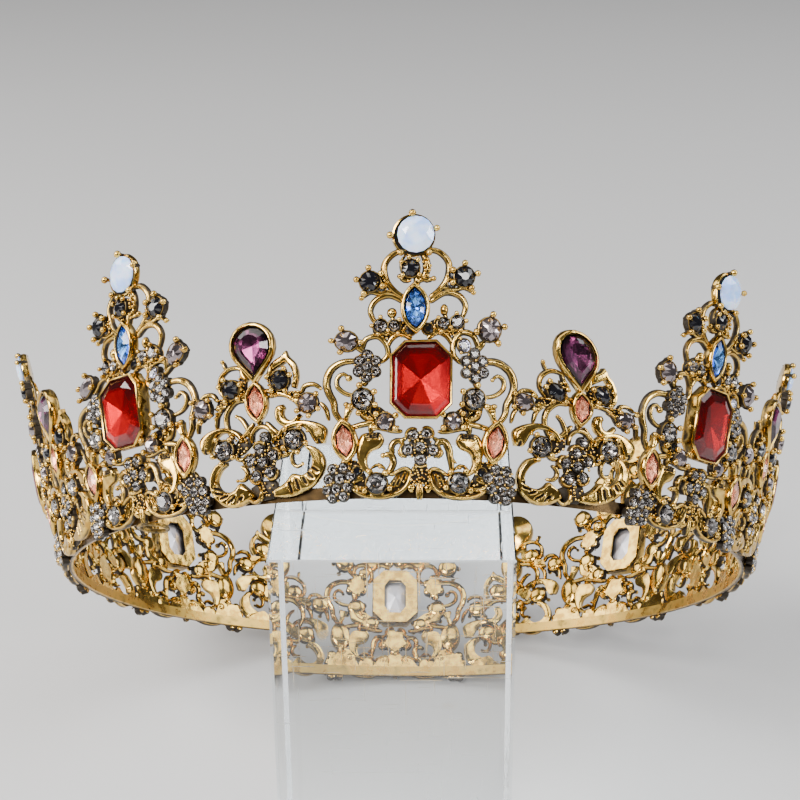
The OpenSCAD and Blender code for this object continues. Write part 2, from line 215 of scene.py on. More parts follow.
def evenly(points, count):
    """The curve's points again, spaced evenly."""
    c = curve_through(points, 0.3)
    s = np.concatenate([[0], np.cumsum(np.linalg.norm(np.diff(c, axis=0), axis=1))])
    t = np.linspace(0, s[-1], count)
    return np.stack([np.interp(t, s, c[:, 0]), np.interp(t, s, c[:, 1])], 1)


def beside(path):
    """The unit normal to the left at each point of a flat curve."""
    d = np.gradient(path, axis=0)
    d /= np.maximum(np.linalg.norm(d, axis=1), 1e-9)[:, None]
    return np.stack([-d[:, 1], d[:, 0]], 1)


def grow(outline, distance):
    """A closed outline moved outward by a distance, corners kept."""
    p = np.array(outline, float)
    before, after = p - np.roll(p, 1, 0), np.roll(p, -1, 0) - p
    n1 = np.stack([before[:, 1], -before[:, 0]], 1)
    n2 = np.stack([after[:, 1], -after[:, 0]], 1)
    n1 /= np.linalg.norm(n1, axis=1)[:, None]
    n2 /= np.linalg.norm(n2, axis=1)[:, None]
    m = n1 + n2
    m /= np.linalg.norm(m, axis=1)[:, None]
    return p + m * (distance / np.maximum((m * n1).sum(1), 0.6))[:, None]


def inside(outline, point):
    """True if the point is inside the closed outline."""
    a, b = np.asarray(outline, float), np.roll(outline, -1, 0)
    cross = (a[:, 1] > point[1]) != (b[:, 1] > point[1])
    with np.errstate(divide="ignore", invalid="ignore"):
        x = a[:, 0] + (point[1] - a[:, 1]) * (b[:, 0] - a[:, 0]) / (b[:, 1] - a[:, 1])
    return int(np.sum(cross & (x > point[0]))) % 2 == 1


def hull(points):
    """The convex outline round some points."""
    p = sorted(map(tuple, points))
    half = []
    for row in (p, p[::-1]):
        h = []
        for q in row:
            while len(h) > 1 and ((h[-1][0] - h[-2][0]) * (q[1] - h[-2][1])
                                  - (h[-1][1] - h[-2][1]) * (q[0] - h[-2][0])) <= 0:
                h.pop()
            h.append(q)
        half += h[:-1]
    return np.array(half)


def round_outline(r, count, turn=0.0):
    a = turn + 2 * np.pi * np.arange(count) / count
    return r * np.stack([np.cos(a), np.sin(a)], 1)


def pointed_oval(w, h, count):
    r = (w * w + h * h) / (2 * w)
    a = math.asin(h / r)
    t = -a + 2 * a * np.arange(count) / count
    right = np.stack([w - r + r * np.cos(t), r * np.sin(t)], 1)
    return np.vstack([right, -right])


def pear_outline(r, reach, count):
    a = math.acos(r / reach)
    t = -np.pi / 2 + a + (2 * np.pi - 2 * a) * np.arange(count + 1) / count
    return np.vstack([r * np.stack([np.cos(t), np.sin(t)], 1), [[0, -reach]]])


def cut_corners(w, h, c):
    x, y = w / 2, h / 2
    return np.array([[-x + c, -y], [x - c, -y], [x, -y + c], [x, y - c],
                     [x - c, y], [-x + c, y], [-x, y - c], [-x, -y + c]], float)


def level(outline, height):
    """A flat outline at a height."""
    return np.concatenate([outline, np.full((len(outline), 1), height)], 1)


def sides(rows):
    """Each row for the right side and again for the left, with a sign."""
    return [(s, row) for s in (1, -1) for row in rows]


def flip(points, s):
    return [(s * p[0], p[1]) for p in points]


class Pieces:
    """Gathers points, faces, a tone for each point and a material for each face."""

    def __init__(self, wall):
        self.wall = wall
        self.points, self.faces, self.tones, self.kinds = [], [], [], []
        self.count = 0

    def add(self, points, faces, tones, kinds=None):
        self.points.append(np.asarray(points, float).reshape(-1, 3))
        self.tones.append(np.broadcast_to(np.asarray(tones, float).ravel(), (len(self.points[-1]),)))
        self.faces += [[i + self.count for i in f] for f in faces]
        self.kinds += kinds or [0] * len(faces)
        self.count += len(self.points[-1])

    def laid(self, turn=None):
        return self.wall.laid(np.vstack(self.points), turn)

    def rings(self, rings, tones, place, closed=False):
        """A skin over closed rings of points, capped at both ends or joined end to end."""
        rings = np.asarray(rings, float)
        k, m = rings.shape[:2]
        faces = []
        for i in range(k if closed else k - 1):
            a, b = i * m, ((i + 1) % k) * m
            faces += [(a + j, a + (j + 1) % m, b + (j + 1) % m, b + j) for j in range(m)]
        if not closed:
            faces += [range(m - 1, -1, -1), range((k - 1) * m, k * m)]
        self.add(place(rings.reshape(-1, 3)), faces, np.broadcast_to(tones, (k, m)))

    def stack(self, rows, place, closed=False):
        """A skin over flat outlines, from rows of outline, height and tone."""
        self.rings([level(o, n) for o, n, _ in rows], [[tone] for _, _, tone in rows], place, closed)


# Cross sections of a cast bar: across, rise and tone, from one foot over the top to the other and its back. The
# darker tones on the flanks are painted shade that leaves a narrow bright line along the top.
BAR_SHAPES = {
    "round": (np.array([-0.72, -1, -0.92, -0.52, 0, 0.52, 0.92, 1, 0.72, 0]),
              np.array([0, 0.28, 0.66, 0.93, 1, 0.93, 0.66, 0.28, 0, 0]),
              np.array([0, 0.4, 0.4, 0.2, -0.08, 0.2, 0.4, 0.4, 0, -0.2])),
    "ridged": (np.array([-0.72, -1, -0.95, -0.6, -0.3, 0, 0.3, 0.6, 0.95, 1, 0.72, 0]),
               np.array([0, 0.3, 0.85, 1, 0.86, 0.52, 0.86, 1, 0.85, 0.3, 0, 0]),
               np.array([0, 0.7, 0.3, -0.05, 0.2, 0.6, 0.2, -0.05, 0.3, 0.7, 0, -0.2])),
}


class Casting(Pieces):
    """The shapes that a cast peak is made of. Tones run from rubbed metal at 0 to dark at 1: wax left in the
    recesses, and painted shade on the flanks of bars, the walls of cups, plates between stones and the undersides
    of beads.
    """

    def __init__(self, wall, sizes):
        super().__init__(wall)
        # Scrolls are drawn for a width of 1.35 mm
        self.scroll = sizes.scroll_width / MM / 1.35
        self.ball, self.grain = sizes.claw_ball / MM, sizes.bead / MM

    # Shapes that lie on the wall
    def bar(self, points, width, top=FACE, ends=(0.9, 0.8), shape="round"):
        """A cast scroll along a curve, full at the middle and finer to its ends."""
        path = curve_through(points, 0.6)
        t = np.linspace(0, 1, len(path))
        half = width / 2 * (ends[0] + (ends[1] - ends[0]) * t) * (0.82 + 0.25 * np.sin(np.pi * t))
        half[[0, -1]] *= 0.6
        high = (top - BACK) * (0.72 + 0.28 * np.clip(half / half.max(), 0, 1))
        across, rise, tone = BAR_SHAPES[shape]
        xy = path[:, None] + beside(path)[:, None] * (half[:, None] * across)[:, :, None]
        out = BACK + high[:, None] * rise
        out[:, -1] -= BAR_BULGE * (path[:, 1] > HOOP_CLEAR + HALF_BAR)
        self.rings(np.dstack([xy, out]), tone, self.wall.wrap)

    def curl(self, points, width, ball=0.62, **more):
        """A scroll that ends in a ball."""
        self.bar(points, width, **more)
        self.bead(*points[-1], FACE - ball * 0.75, ball)

    def leaf(self, left, right, top, columns=9, step=0.45, grooves=(), fluted=False):
        """A cast leaf between two edges, plain or with one flute, and with grooves cut from point to point."""
        count = max(6, int(np.linalg.norm(np.diff(np.array(left, float), axis=0), axis=1).sum() / step))
        a, b = evenly(left, count), evenly(right, count)
        f = 0.5 - 0.5 * np.cos(np.pi * np.linspace(0, 1, columns) ** 0.9)
        f[-1] = 1.0
        xy = a[:, None] * (1 - f)[:, None] + b[:, None] * f[:, None]
        edge = np.abs(2 * f - 1)
        flute = 0.35 * fluted * (0.5 + 0.5 * np.cos(2 * np.pi * f))
        rise = np.tile(np.clip(1 - 0.45 * edge ** 7 - flute * (edge < 0.98), 0.12, 1), (count, 1))
        tone = np.tile(np.clip(0.3 * edge ** 10 + 0.8 * flute, 0, 1), (count, 1))
        for g in grooves:
            p, q = np.array(g[:2], float), np.array(g[2:], float)
            s = np.clip(((xy - p) @ (q - p)) / ((q - p) @ (q - p)), 0, 1)
            cut = np.exp(-(np.linalg.norm(xy - p - s[..., None] * (q - p), axis=2) / 0.2) ** 2)
            rise, tone = rise - 0.5 * cut, np.maximum(tone, cut)
        ends = np.clip(np.minimum(np.arange(count), np.arange(count)[::-1]) / 1.5, 0, 1)[:, None]
        out = BACK + (top - BACK) * np.clip(rise * (0.6 + 0.4 * ends), 0.05, 1)
        foot_a, foot_b = level(a, BACK)[:, None], level(b, BACK)[:, None]
        back = (foot_a + foot_b) / 2
        back[:, 0, 2] -= BULGE * (back[:, 0, 1] > HOOP_CLEAR + HALF_BAR)
        rubbed = np.zeros((count, 1))
        self.rings(np.concatenate([foot_a, np.dstack([xy, out]), foot_b, back], 1),
                   np.concatenate([rubbed, tone, rubbed, rubbed - 0.2], 1), self.wall.wrap)

    def lump(self, middle, radii, latitudes, tones, count, place=None):
        """A rounded lump with a radius across, up and out, from its lowest ring to its highest."""
        t, a = np.radians(latitudes)[:, None], 2 * np.pi * np.arange(count) / count
        reach = (np.cos(t) * np.cos(a), np.cos(t) * np.sin(a), np.sin(t) + 0 * a)
        self.rings(np.dstack([x + r * d for x, r, d in zip(middle, radii, reach)]), np.reshape(tones, (-1, 1)),
                   place or self.wall.wrap)

    def bead(self, u, v, out, r, place=None, tone=0.0, count=8):
        # Darker towards the casting beneath: wax in the crevice and painted shade under the bead.
        tones = tone + np.array([0.7, 0.3, -0.05, -0.15, -0.15])
        self.lump((u, v, out), (r, r, r), (-72, -36, 0, 36, 72), tones, count, place)

    def knob(self, u, v, wide, high):
        """A flattened ball, wider or taller than it is thick."""
        # Darker towards the casting beneath: wax in the crevice and painted shade under the knob.
        self.lump((u, v, 1.5), (wide, high, 0.95), (-60, -20, 20, 55, 80), (0.8, 0.5, 0.2, 0.05, 0), 10)

    def wire_ring(self, u, v, out, r, wire):
        """A ring of round wire that lies about level, with its outer end at the given height."""
        a, b = 2 * np.pi * np.arange(26)[:, None] / 26, 2 * np.pi * np.arange(8) / 8
        reach = r + wire * np.cos(b)
        height = v + wire * np.sin(b) + 0.3 * r * (np.sin(a) - 1)
        self.rings(np.dstack([u + reach * np.cos(a), height, out + reach * np.sin(a)]), 0.25, self.wall.wrap,
                   closed=True)

    def plate(self, outline, top=1.25, tone=0.95):
        """A low plate that closes the ground between small stones, toned near black as painted shade between them.
        """
        o = np.array(outline, float)
        if np.sum(o[:, 0] * np.roll(o[:, 1], -1) - np.roll(o[:, 0], -1) * o[:, 1]) < 0:
            o = o[::-1]
        self.stack([(o, BACK, -0.2), (o, top - 0.25, 0.9), (grow(o, -0.22), top, tone)], self.wall.wrap)

    def gravel(self, outline, count, seed, size=(0.22, 0.36), out=1.5, keep=()):
        """Small grains strewn on a plate, clear of the places given as across, up, radius."""
        rng = np.random.default_rng(seed)
        o = np.array(outline, float)
        low, high = o.min(0), o.max(0)
        placed = []
        for _ in range(count * 12):
            q = low + (high - low) * rng.random(2)
            r = size[0] + (size[1] - size[0]) * rng.random()
            if (len(placed) < count and inside(o, q) and all(math.dist(q, k[:2]) > k[2] for k in keep)
                    and all(math.dist(q, k[:2]) > k[2] + r for k in placed)):
                placed.append((q[0], q[1], r * 0.8))
                self.bead(q[0], q[1], out + 0.5 * rng.random(), r, tone=0.25 * rng.random(), count=6)

    def grounds(self, rows, seed, stones):
        """Plates toned dark as painted shade on both sides, with grains round the stones, from rows of grain count
        and outline.
        """
        keep = [(u, v, r + 0.1) for u, v, r in stones]
        for i, (s, (count, outline)) in enumerate(sides(rows)):
            self.plate(flip(outline, s))
            self.gravel(flip(outline, s), count, seed + i, keep=keep)

    # Shapes that stand on a flat seat
    def turned(self, place, profile, count=16):
        """A body turned about the seat's axis, from rows of radius, height and tone."""
        self.stack([(round_outline(r, count), n, tone) for r, n, tone in profile], place)

    def claw(self, place, angle, reach, top, ball, root=None):
        """A claw from the seat's side, ending in a ball at that reach and height."""
        root = reach - 0.75 if root is None else root
        track = curve_through([(root, 0.9), (reach - 0.28, 1.35), (reach, top - ball * 0.4)], 0.6)
        d = np.gradient(track, axis=0)
        d /= np.linalg.norm(d, axis=1)[:, None]
        a = 2 * np.pi * np.arange(6) / 6
        # Claws with a larger ball than usual are thicker too
        thick = np.linspace(0.46, 0.34, len(track)) * max(1.0, ball / 0.72)
        c, s = math.cos(math.radians(angle)), math.sin(math.radians(angle))
        rings = []
        for (rho, n), (dr, dn), w in zip(track, d, thick):
            r, side = rho + w * np.cos(a) * dn, w * np.sin(a)
            rings.append(np.stack([r * c - side * s, r * s + side * c, n - w * np.cos(a) * dr], 1))
        # Darker at the root by the cup: wax and painted shade.
        self.rings(rings, np.linspace(0.8, 0.25, len(track))[:, None], place)
        self.bead(reach * c, reach * s, top, ball, place)

    def cup(self, u, v, r, claws, ball, top=2.55, spread=0.72, low=0.0):
        """A round cup with claws at angles in degrees, which end lower by the last value."""
        place = self.wall.seat(u, v)
        o = r + 0.36
        back = BACK - BULGE * (v - o > HOOP_CLEAR)
        # The outer wall and the inside are toned dark: wax, and painted shade round the stone.
        self.turned(place, [(o * 0.35, back, -0.2), (o * 0.72, (back + BACK) / 2, -0.1),
                            (o * 0.95, BACK + 0.15, 0.1), (o, BACK + 0.5, 0.6), (o, top - 0.35, 0.65),
                            (o - 0.06, top - 0.08, 0.28), (r + 0.14, top, 0.24), (r + 0.02, top - 0.12, 0.9),
                            (r - 0.05, top - 0.9, 1.0), (r * 0.45, 1.1, 1.0)])
        for angle in claws:
            self.claw(place, angle, r + spread, top + 0.42 - low, ball)

    def bezel(self, place, outline, top, width, window=None, lip=0.0, inner=0.06):
        """A smooth rim round a set stone, closed behind or open to a window."""
        rows = [(width * 0.55, BACK, -0.2), (width * 0.86, BACK + 0.35, 0.15), (width, BACK + 0.9, 0.3),
                (width, top - 0.6, 0.05), (width * 0.9, top - 0.2, -0.05), (width * 0.6, top, -0.2),
                (width * 0.4, top - 0.02, -0.2), (inner + 0.04, top - 0.22 - lip, 0.3),
                (inner, top - 0.6 - lip, 1.0), (inner - 0.06, top - 1.5 - lip, 1.0)]
        rows = [(grow(outline, d), n, tone) for d, n, tone in rows]
        if window:
            hole = np.array(outline) * window
            rows += [(hole, 1.1, 0.3), (hole, BACK, -0.2)]
        else:
            rows.append((grow(outline, -0.5), 1.2, 1.0))
        self.stack(rows, place, closed=bool(window))

    def cluster(self, stones, seed):
        """Small open cups set close together on a ground plate, with grains between them; the plate and the cup
        walls are toned dark as painted shade between the stones.
        """
        ground = grow(hull([(u, v) for u, v, _ in stones]), 0.35)
        self.plate(ground, top=1.35)
        for u, v, r in stones:
            o = r + 0.17
            self.turned(self.wall.seat(u, v), [(o * 0.7, BACK, -0.2), (o, BACK + 0.3, 0.7), (o * 0.98, 2.0, 0.8),
                                               (o, 2.3, 0.42), (r + 0.03, 2.38, 0.36), (r - 0.08, 1.9, 0.9),
                                               (r * 0.4, 1.3, 1)], count=12)
        self.gravel(grow(ground, 0.6), 3 * len(stones), seed, size=(self.grain * 0.6, self.grain * 0.9), out=2.15,
                    keep=[(u, v, r + 0.02) for u, v, r in stones])

    def crescent(self, u, v, reach, angles, width, ends):
        """A raised rim round one side of a small stone, over five angles in radians."""
        arc = [(u + reach * math.cos(a), v + reach * math.sin(a)) for a in angles]
        self.bar(arc, width, top=2.6, ends=(ends, ends))


class Stones(Pieces):
    """Cut stones. Their tone is 1 at the rim, where the glass is painted deeper in colour as shade, and their
    kinds are 0 for the clear body and 1 for the foil.
    """

    def cut(self, place, points, tones, clear, foil):
        self.add(place(points), clear + foil, tones, [0] * len(clear) + [1] * len(foil))

    def brilliant(self, u, v, r, girdle=2.6, crown=0.34, depth=0.62, turn=0.0, table=0.56):
        """A round stone with a row of eight main facets above and below."""
        # Width, number of corners, turn and height over the girdle of each row, as parts of the radius
        rows = [(table, 8, 0, crown), (0.80, 8, np.pi / 8, 0.62 * crown), (1, 16, 0, 0.02), (1, 16, 0, -0.06),
                (0.42, 8, np.pi / 8, -0.55 * depth), (0, 1, 0, -depth)]
        points = [level(round_outline(wide * r, count, turn + shift), girdle + rise * r)
                  for wide, count, shift, rise in rows]
        # First points of the table, the upper facets, the rim's two edges and the lower facets, and the tip
        t, m, e, g, w, tip = 0, 8, 16, 32, 48, 56
        clear, foil = [tuple(range(t, m))], []
        for i in range(8):
            j, h = (i + 1) % 8, (i - 1) % 8
            clear += [(t + i, m + i, t + j), (t + i, m + h, e + 2 * i, m + i),
                      (m + i, e + 2 * i, e + 2 * i + 1), (m + i, e + 2 * i + 1, e + 2 * j)]
            foil += [(w + h, tip, w + i, g + 2 * i), (w + i, g + 2 * i + 1, g + 2 * i),
                     (w + i, g + 2 * j, g + 2 * i + 1)]
        clear += [(e + i, g + i, g + (i + 1) % 16, e + (i + 1) % 16) for i in range(16)]
        tones = np.repeat([0.0, 0.5, 1.0, 1.0, 0.5, 0.2], [8, 8, 16, 16, 8, 1])
        self.cut(self.wall.seat(u, v), np.vstack(points), tones, clear, foil)

    def simple_cut(self, place, outline, table, rise, depth, girdle, step=None, under=None):
        """A table, one or two rows of slanting facets, and a pointed foil back with or without a step."""
        n, o = len(outline), np.asarray(outline)
        rows = [(1.0, girdle - 0.12, 1.0), (1.0, girdle, 1.0)]
        if step:
            rows.append((*step, 0.6))
        rows.append((table, girdle + rise, 0.0))
        top = (len(rows) - 1) * n
        clear = [(a + i, a + (i + 1) % n, a + n + (i + 1) % n, a + n + i)
                 for a in range(0, top, n) for i in range(n)]
        clear.append(tuple(range(top, top + n)))
        last = 0
        if under:
            rows.append((under[0], girdle - under[1], 0.5))
            last = top + n
        foil, tip = [], len(rows) * n
        for i in range(n):
            j = (i + 1) % n
            if under:
                foil.append((j, i, last + i, last + j))
            foil.append((last + j, last + i, tip))
        points = np.vstack([level(o * wide, height) for wide, height, _ in rows] + [[[0, 0, girdle - depth]]])
        tones = np.repeat([tone for *_, tone in rows] + [0.2], [n] * len(rows) + [1])
        self.cut(place, points, tones, clear, foil)


# ---------- the tall casting ----------

# Seats of the stones that a peak has one or two of: across, up, and the roll of the ovals at its sides
OPAL_SEAT, BLUE_SEAT, RED_SEAT, PEAR_SEAT = (0, 54.4), (-0.65, 39.1), (0, 24.1), (0, 32.7)
SIDE_OVAL, LOW_OVAL = (15.25, 11.3, -0.10), (0, 20.9, 0)
# The round stones out of the rows below: across, up and radius
UPPER_BLACK, SIDE_SILVER = (-1.3, 47.4, 1.8), (8.9, 31.0, 1.2)


def both(rows):
    """Cups on the right side and their mirror images on the left."""
    return rows + [(-u, v, r, tuple(180 - a for a in claws)) for u, v, r, claws in rows]


# Claw cups: across, up, stone radius and claw angles
TALL_CUPS = {
    "black": both([(9.6, 45.1, 2.05, (88, 12, 300, 205, 150))]),
    "hematite": [(14.4, 34.0, 2.3, (78, 8, 300, 190)), (-14.9, 32.7, 2.3, (102, 172, 240, 350)),
                 (6.6, 15.6, 1.75, (40, 330, 215, 150)), (-7.1, 15.3, 1.75, (140, 210, 325, 30))],
    "grey": both([(7.8, 35.7, 1.35, (95, 5, 290, 215)), (5.0, 35.5, 1.2, (130, 250))])
    + [(10.9, 20.2, 2.2, (80, 150, 205, 330, 285)), (-11.8, 19.9, 2.2, (100, 30, 335, 210, 255)),
       (7.9, 2.8, 2.1, (60, 130, 200, 330)), (-8.7, 2.5, 2.1, (120, 50, 340, 210))],
}
# Scrolls on the right side: points, width and cross section
TALL_SCROLLS = [
    ([(2.0, 51.2), (4.6, 50.7), (6.6, 48.4), (6.3, 45.2), (4.6, 42.8), (2.4, 41.2)], 1.4, "round"),
    ([(2.4, 40.2), (5.6, 42.0), (8.5, 41.3), (9.8, 39.0), (8.9, 36.4)], 1.35, "round"),
    ([(12.0, 30.6), (11.0, 33.0), (8.6, 33.6), (7.0, 31.9), (6.7, 29.4), (8.2, 27.6)], 1.35, "round"),
    ([(12.4, 28.0), (15.8, 27.8), (18.3, 26.2), (19.3, 23.6), (18.9, 21.3), (17.8, 19.2), (17.4, 17.0),
      (16.0, 15.0)], 1.65, "round"),
    ([(1.6, 32.7), (3.6, 34.0), (5.6, 33.1), (6.9, 30.9)], 1.35, "round"),
    ([(1.4, 34.4), (5.0, 34.2), (8.8, 34.1)], 1.2, "round"),
    ([(11.0, 29.6), (13.4, 31.8)], 1.4, "round"),
    ([(11.4, 24.2), (11.6, 22.6)], 1.6, "round"),
    ([(10.2, 18.8), (9.2, 17.2), (8.4, 16.2)], 1.3, "ridged"),
    ([(9.0, 15.2), (11.7, 14.7), (14.4, 14.0)], 1.3, "round"),
    ([(3.6, 13.4), (5.4, 13.4), (8.4, 14.0), (10.4, 13.8)], 1.1, "round"),
    ([(10.0, 15.0), (10.1, 12.8)], 1.3, "round"),
    ([(11.6, 3.6), (13.0, 3.2), (14.6, 3.0)], 1.6, "round"),
    ([(13.8, 6.6), (15.3, 5.8)], 1.4, "round"),
]
# Clusters: across, up and radius of each small stone, on the right side
TALL_CLUSTERS = [
    [(10.9, 29.4, 1.12), (12.5, 28.0, 1.08), (9.2, 28.0, 1.08), (11.0, 27.0, 1.12), (12.7, 25.7, 1.08),
     (9.3, 25.7, 1.1), (11.1, 24.6, 1.12)],
    [(15.4, 5.6, 1.1), (17.6, 5.3, 1.05), (13.9, 3.9, 1.08), (16.1, 3.4, 1.2), (18.3, 3.2, 1.08),
     (14.6, 1.7, 1.08), (16.8, 1.2, 1.12), (18.7, 0.9, 0.95), (15.4, -0.3, 1.05), (17.6, -0.7, 1.0)],
]
MIDDLE_CLUSTER = [(-1.4, 12.5, 1.18), (1.15, 12.8, 1.18), (2.55, 9.5, 1.15), (0.1, 7.5, 1.2), (-2.5, 9.5, 1.15),
                  (0, 10.2, 1.12)]
# Ground that carries the smallest stones, toned dark as painted shade, on the right side: number of grains and
# outline
TALL_GROUNDS = [
    (26, [(1.0, 34.6), (2.6, 36.4), (4.2, 36.9), (6.2, 36.6), (8.8, 36.8), (9.6, 35.6), (9.4, 34.0), (7.2, 33.0),
          (4.4, 33.4), (2.2, 32.8)]),
    (15, [(6.2, 46.6), (7.6, 46.8), (8.6, 45.4), (8.2, 43.6), (6.6, 43.0), (5.8, 44.4)]),
    (15, [(8.2, 18.4), (10.4, 19.0), (11.4, 17.6), (10.2, 15.4), (8.2, 14.2), (6.0, 13.6), (5.2, 15.0),
          (6.4, 17.0)]),
    (15, [(12.4, 7.0), (14.2, 7.4), (14.4, 5.4), (13.6, 2.2), (11.2, 0.9), (10.2, 2.4), (11.4, 4.8)]),
]
DARK_SPECKS = [(1.8, 34.6, 1.05), (-1.8, 34.6, 1.05), (7.25, 45.75, 0.8), (7.0, 43.75, 0.72), (-7.3, 43.7, 0.72),
               (9.0, 17.3, 0.8), (-9.2, 17.4, 0.8), (12.6, 5.0, 0.85), (-12.6, 5.0, 0.85)]
# Loose beads on the right side: across and up
TALL_BEADS = [(8.1, 5.9), (6.3, 5.0), (5.9, 1.9), (7.6, 0.5), (9.7, 0.2), (12.6, 1.0), (12.9, 14.0), (3.1, 34.9),
              (6.4, 34.5), (4.6, 14.2), (13.8, 13.1)]


def tall_casting(wall, sizes):
    """The tall peak: opal, blue oval and red stone over a flower, between scrolls and leaves."""
    m = Casting(wall, sizes)
    opal_and_neck(m)
    cups = [c for rows in TALL_CUPS.values() for c in rows]
    for u, v, r, claws in cups:
        small = r < 1.5
        m.cup(u, v, r, claws, m.ball * (0.72 if small else 1.0),
              top=2.3 if small else 2.5, spread=0.5 if small else 0.75, low=0.5 if v < 5 else 0.0)
    for s, (points, width, shape) in sides(TALL_SCROLLS):
        m.bar(flip(points, s), width * m.scroll, shape=shape)
    m.grounds(TALL_GROUNDS, 20, [c[:3] for c in cups] + DARK_SPECKS)
    for u, v, r in DARK_SPECKS:
        m.cup(u, v, r, (), m.grain, top=2.0)
    # Small knobs on stems, the left one broader
    m.bar([(-5.7, 35.8), (-5.3, 36.8), (-5.3, 38.0)], 1.1)
    m.knob(-5.4, 38.3, 1.12, 1.18)
    m.bar([(5.9, 35.8), (5.6, 36.8), (5.5, 38.0)], 1.05)
    m.knob(5.3, 38.4, 0.88, 1.35)
    for s in (1, -1):
        side_leaves(m, s)
        swag(m, s)
        for u, v in TALL_BEADS:
            m.bead(s * u, v, FACE + 0.05, m.grain)
        u, v, roll = SIDE_OVAL
        m.bezel(wall.seat(s * u, v, s * roll), pointed_oval(1.7, 3.35, 9), 3.1, 1.12, inner=0.12)
        m.bar(flip([(15.3, 7.8), (15.6, 5.8)], s), 1.6)
    flower_arms(m)
    m.bezel(wall.seat(*BLUE_SEAT), pointed_oval(2.15, 4.25, 12), 3.15, 0.95, inner=0.12)
    m.bezel(wall.seat(*RED_SEAT), cut_corners(11.8, 15.2, 2.8), 4.1, 0.62, window=(0.52, 0.66))
    for i, (s, stones) in enumerate(sides(TALL_CLUSTERS)):
        m.cluster([(s * u, v, r) for u, v, r in stones], 50 + i)
    m.cluster(MIDDLE_CLUSTER, 59)
    for (u, v, _), span in zip(MIDDLE_CLUSTER, ((60, 200), (-30, 120), (-80, 60), (-150, -30), (120, 265))):
        m.crescent(u, v, 1.5, np.radians(np.linspace(*span, 5)), 0.85, 0.9)
    m.bar([(-3.9, 9.9), (-4.2, 8.9), (-3.4, 7.9)], 1.1, top=2.3)
    m.bar([(3.9, 9.9), (4.4, 8.9), (3.6, 7.9)], 1.2, top=2.3)
    m.cup(*SIDE_SILVER, (120, 240), m.grain, top=2.3, spread=0.4)
    knot(m)
    return m


def opal_and_neck(m):
    """The opal's ring with its uneven claws, which shows a little on its left, and the neck below it."""
    m.turned(m.wall.seat(-0.4, 54.25), [(3.4, BACK, -0.2), (4.3, BACK + 0.2, 0.0), (4.62, 1.4, 0.2),
                                        (4.5, 2.2, -0.1), (4.15, 2.3, 0.15), (3.95, 1.9, 1.0),
                                        (3.2, 1.4, 1.0)], count=28)
    for angle, reach, r in ((97, 4.5, 0.82), (180, 5.35, 0.8), (13, 4.55, 0.7), (229, 5.0, 0.72),
                            (303, 4.8, 0.72)):
        m.claw(m.wall.seat(*OPAL_SEAT), angle, reach, 3.1, r, root=3.6)
    m.cup(*UPPER_BLACK, (145, 45, 220, 320, 95), m.ball * 0.8, spread=0.45)
    m.bar([(1.4, 50.6), (2.0, 49.0), (2.1, 47.4), (1.6, 45.8), (0.4, 44.6)], 1.9, top=1.7)
    m.bar([(-2.2, 50.2), (-3.0, 49.2), (-3.2, 47.8), (-2.8, 46.4), (-1.8, 45.2)], 0.8)
    m.curl([(0.8, 45.4), (2.0, 44.9), (3.4, 45.1)], 1.4, ball=0.62)
    m.curl([(-1.2, 45.0), (-2.6, 45.0), (-3.6, 45.9)], 1.2, ball=0.55)
    m.bar([(0, 46.2), (0, 43.6)], 1.7)
    m.gravel([(1.0, 45.0), (2.4, 45.4), (2.8, 47.4), (2.4, 49.6), (1.4, 50.4)], 12, 4, size=(0.3, 0.45), out=1.9)


def side_leaves(m, s):
    """Curls, a forked leaf, a bud and a ribbed crescent on one side."""
    m.curl(flip([(5.0, 43.1), (7.6, 42.5), (9.6, 42.9), (11.5, 41.8)], s), 1.15, ball=0.6)
    m.curl(flip([(12.6, 20.6), (15.2, 21.0), (17.0, 22.4), (17.1, 24.2), (15.9, 25.2), (14.7, 24.3)], s),
           1.2, ball=0.8 if s < 0 else 0.5)
    # Forked leaf and bud by the edge stones
    m.leaf(flip([(11.4, 19.2), (10.4, 17.2), (8.6, 16.4)], s),
           flip([(13.0, 18.6), (12.2, 16.0), (10.0, 15.0)], s), top=2.0, fluted=True,
           grooves=[(s * 11.6, 18.4, s * 10.4, 16.4)])
    m.leaf(flip([(13.3, 18.4), (14.2, 16.9), (14.9, 15.0)], s),
           flip([(15.6, 18.7), (15.5, 17.0), (15.9, 15.0)], s), top=2.3)
    m.knob(s * 14.1, 18.6, 0.85, 0.6)
    m.knob(s * 15.1, 18.8, 0.7, 0.6)
    # Crescent leaf with ribs cut in its top edge
    outer = flip([(8.4, 13.2), (11.8, 12.7), (12.9, 10.2), (12.7, 7.2), (11.4, 5.0), (9.2, 3.8)], s)
    inner = flip([(7.9, 12.8), (7.3, 11.4), (8.1, 9.9), (10.0, 8.9), (10.7, 7.3), (10.2, 5.5), (8.5, 4.3)], s)
    ribs = [(s * x, 13.2 - 0.1 * x / 8, s * (x + 0.15), 12.0) for x in (8.5, 9.2, 9.9, 10.6)]
    m.leaf(outer, inner, top=2.25, columns=17, step=0.3, grooves=ribs)
    # Arms of the middle flower
    m.bar(flip([(2.6, 12.2), (3.5, 11.6), (4.4, 11.4)], s), 1.1)


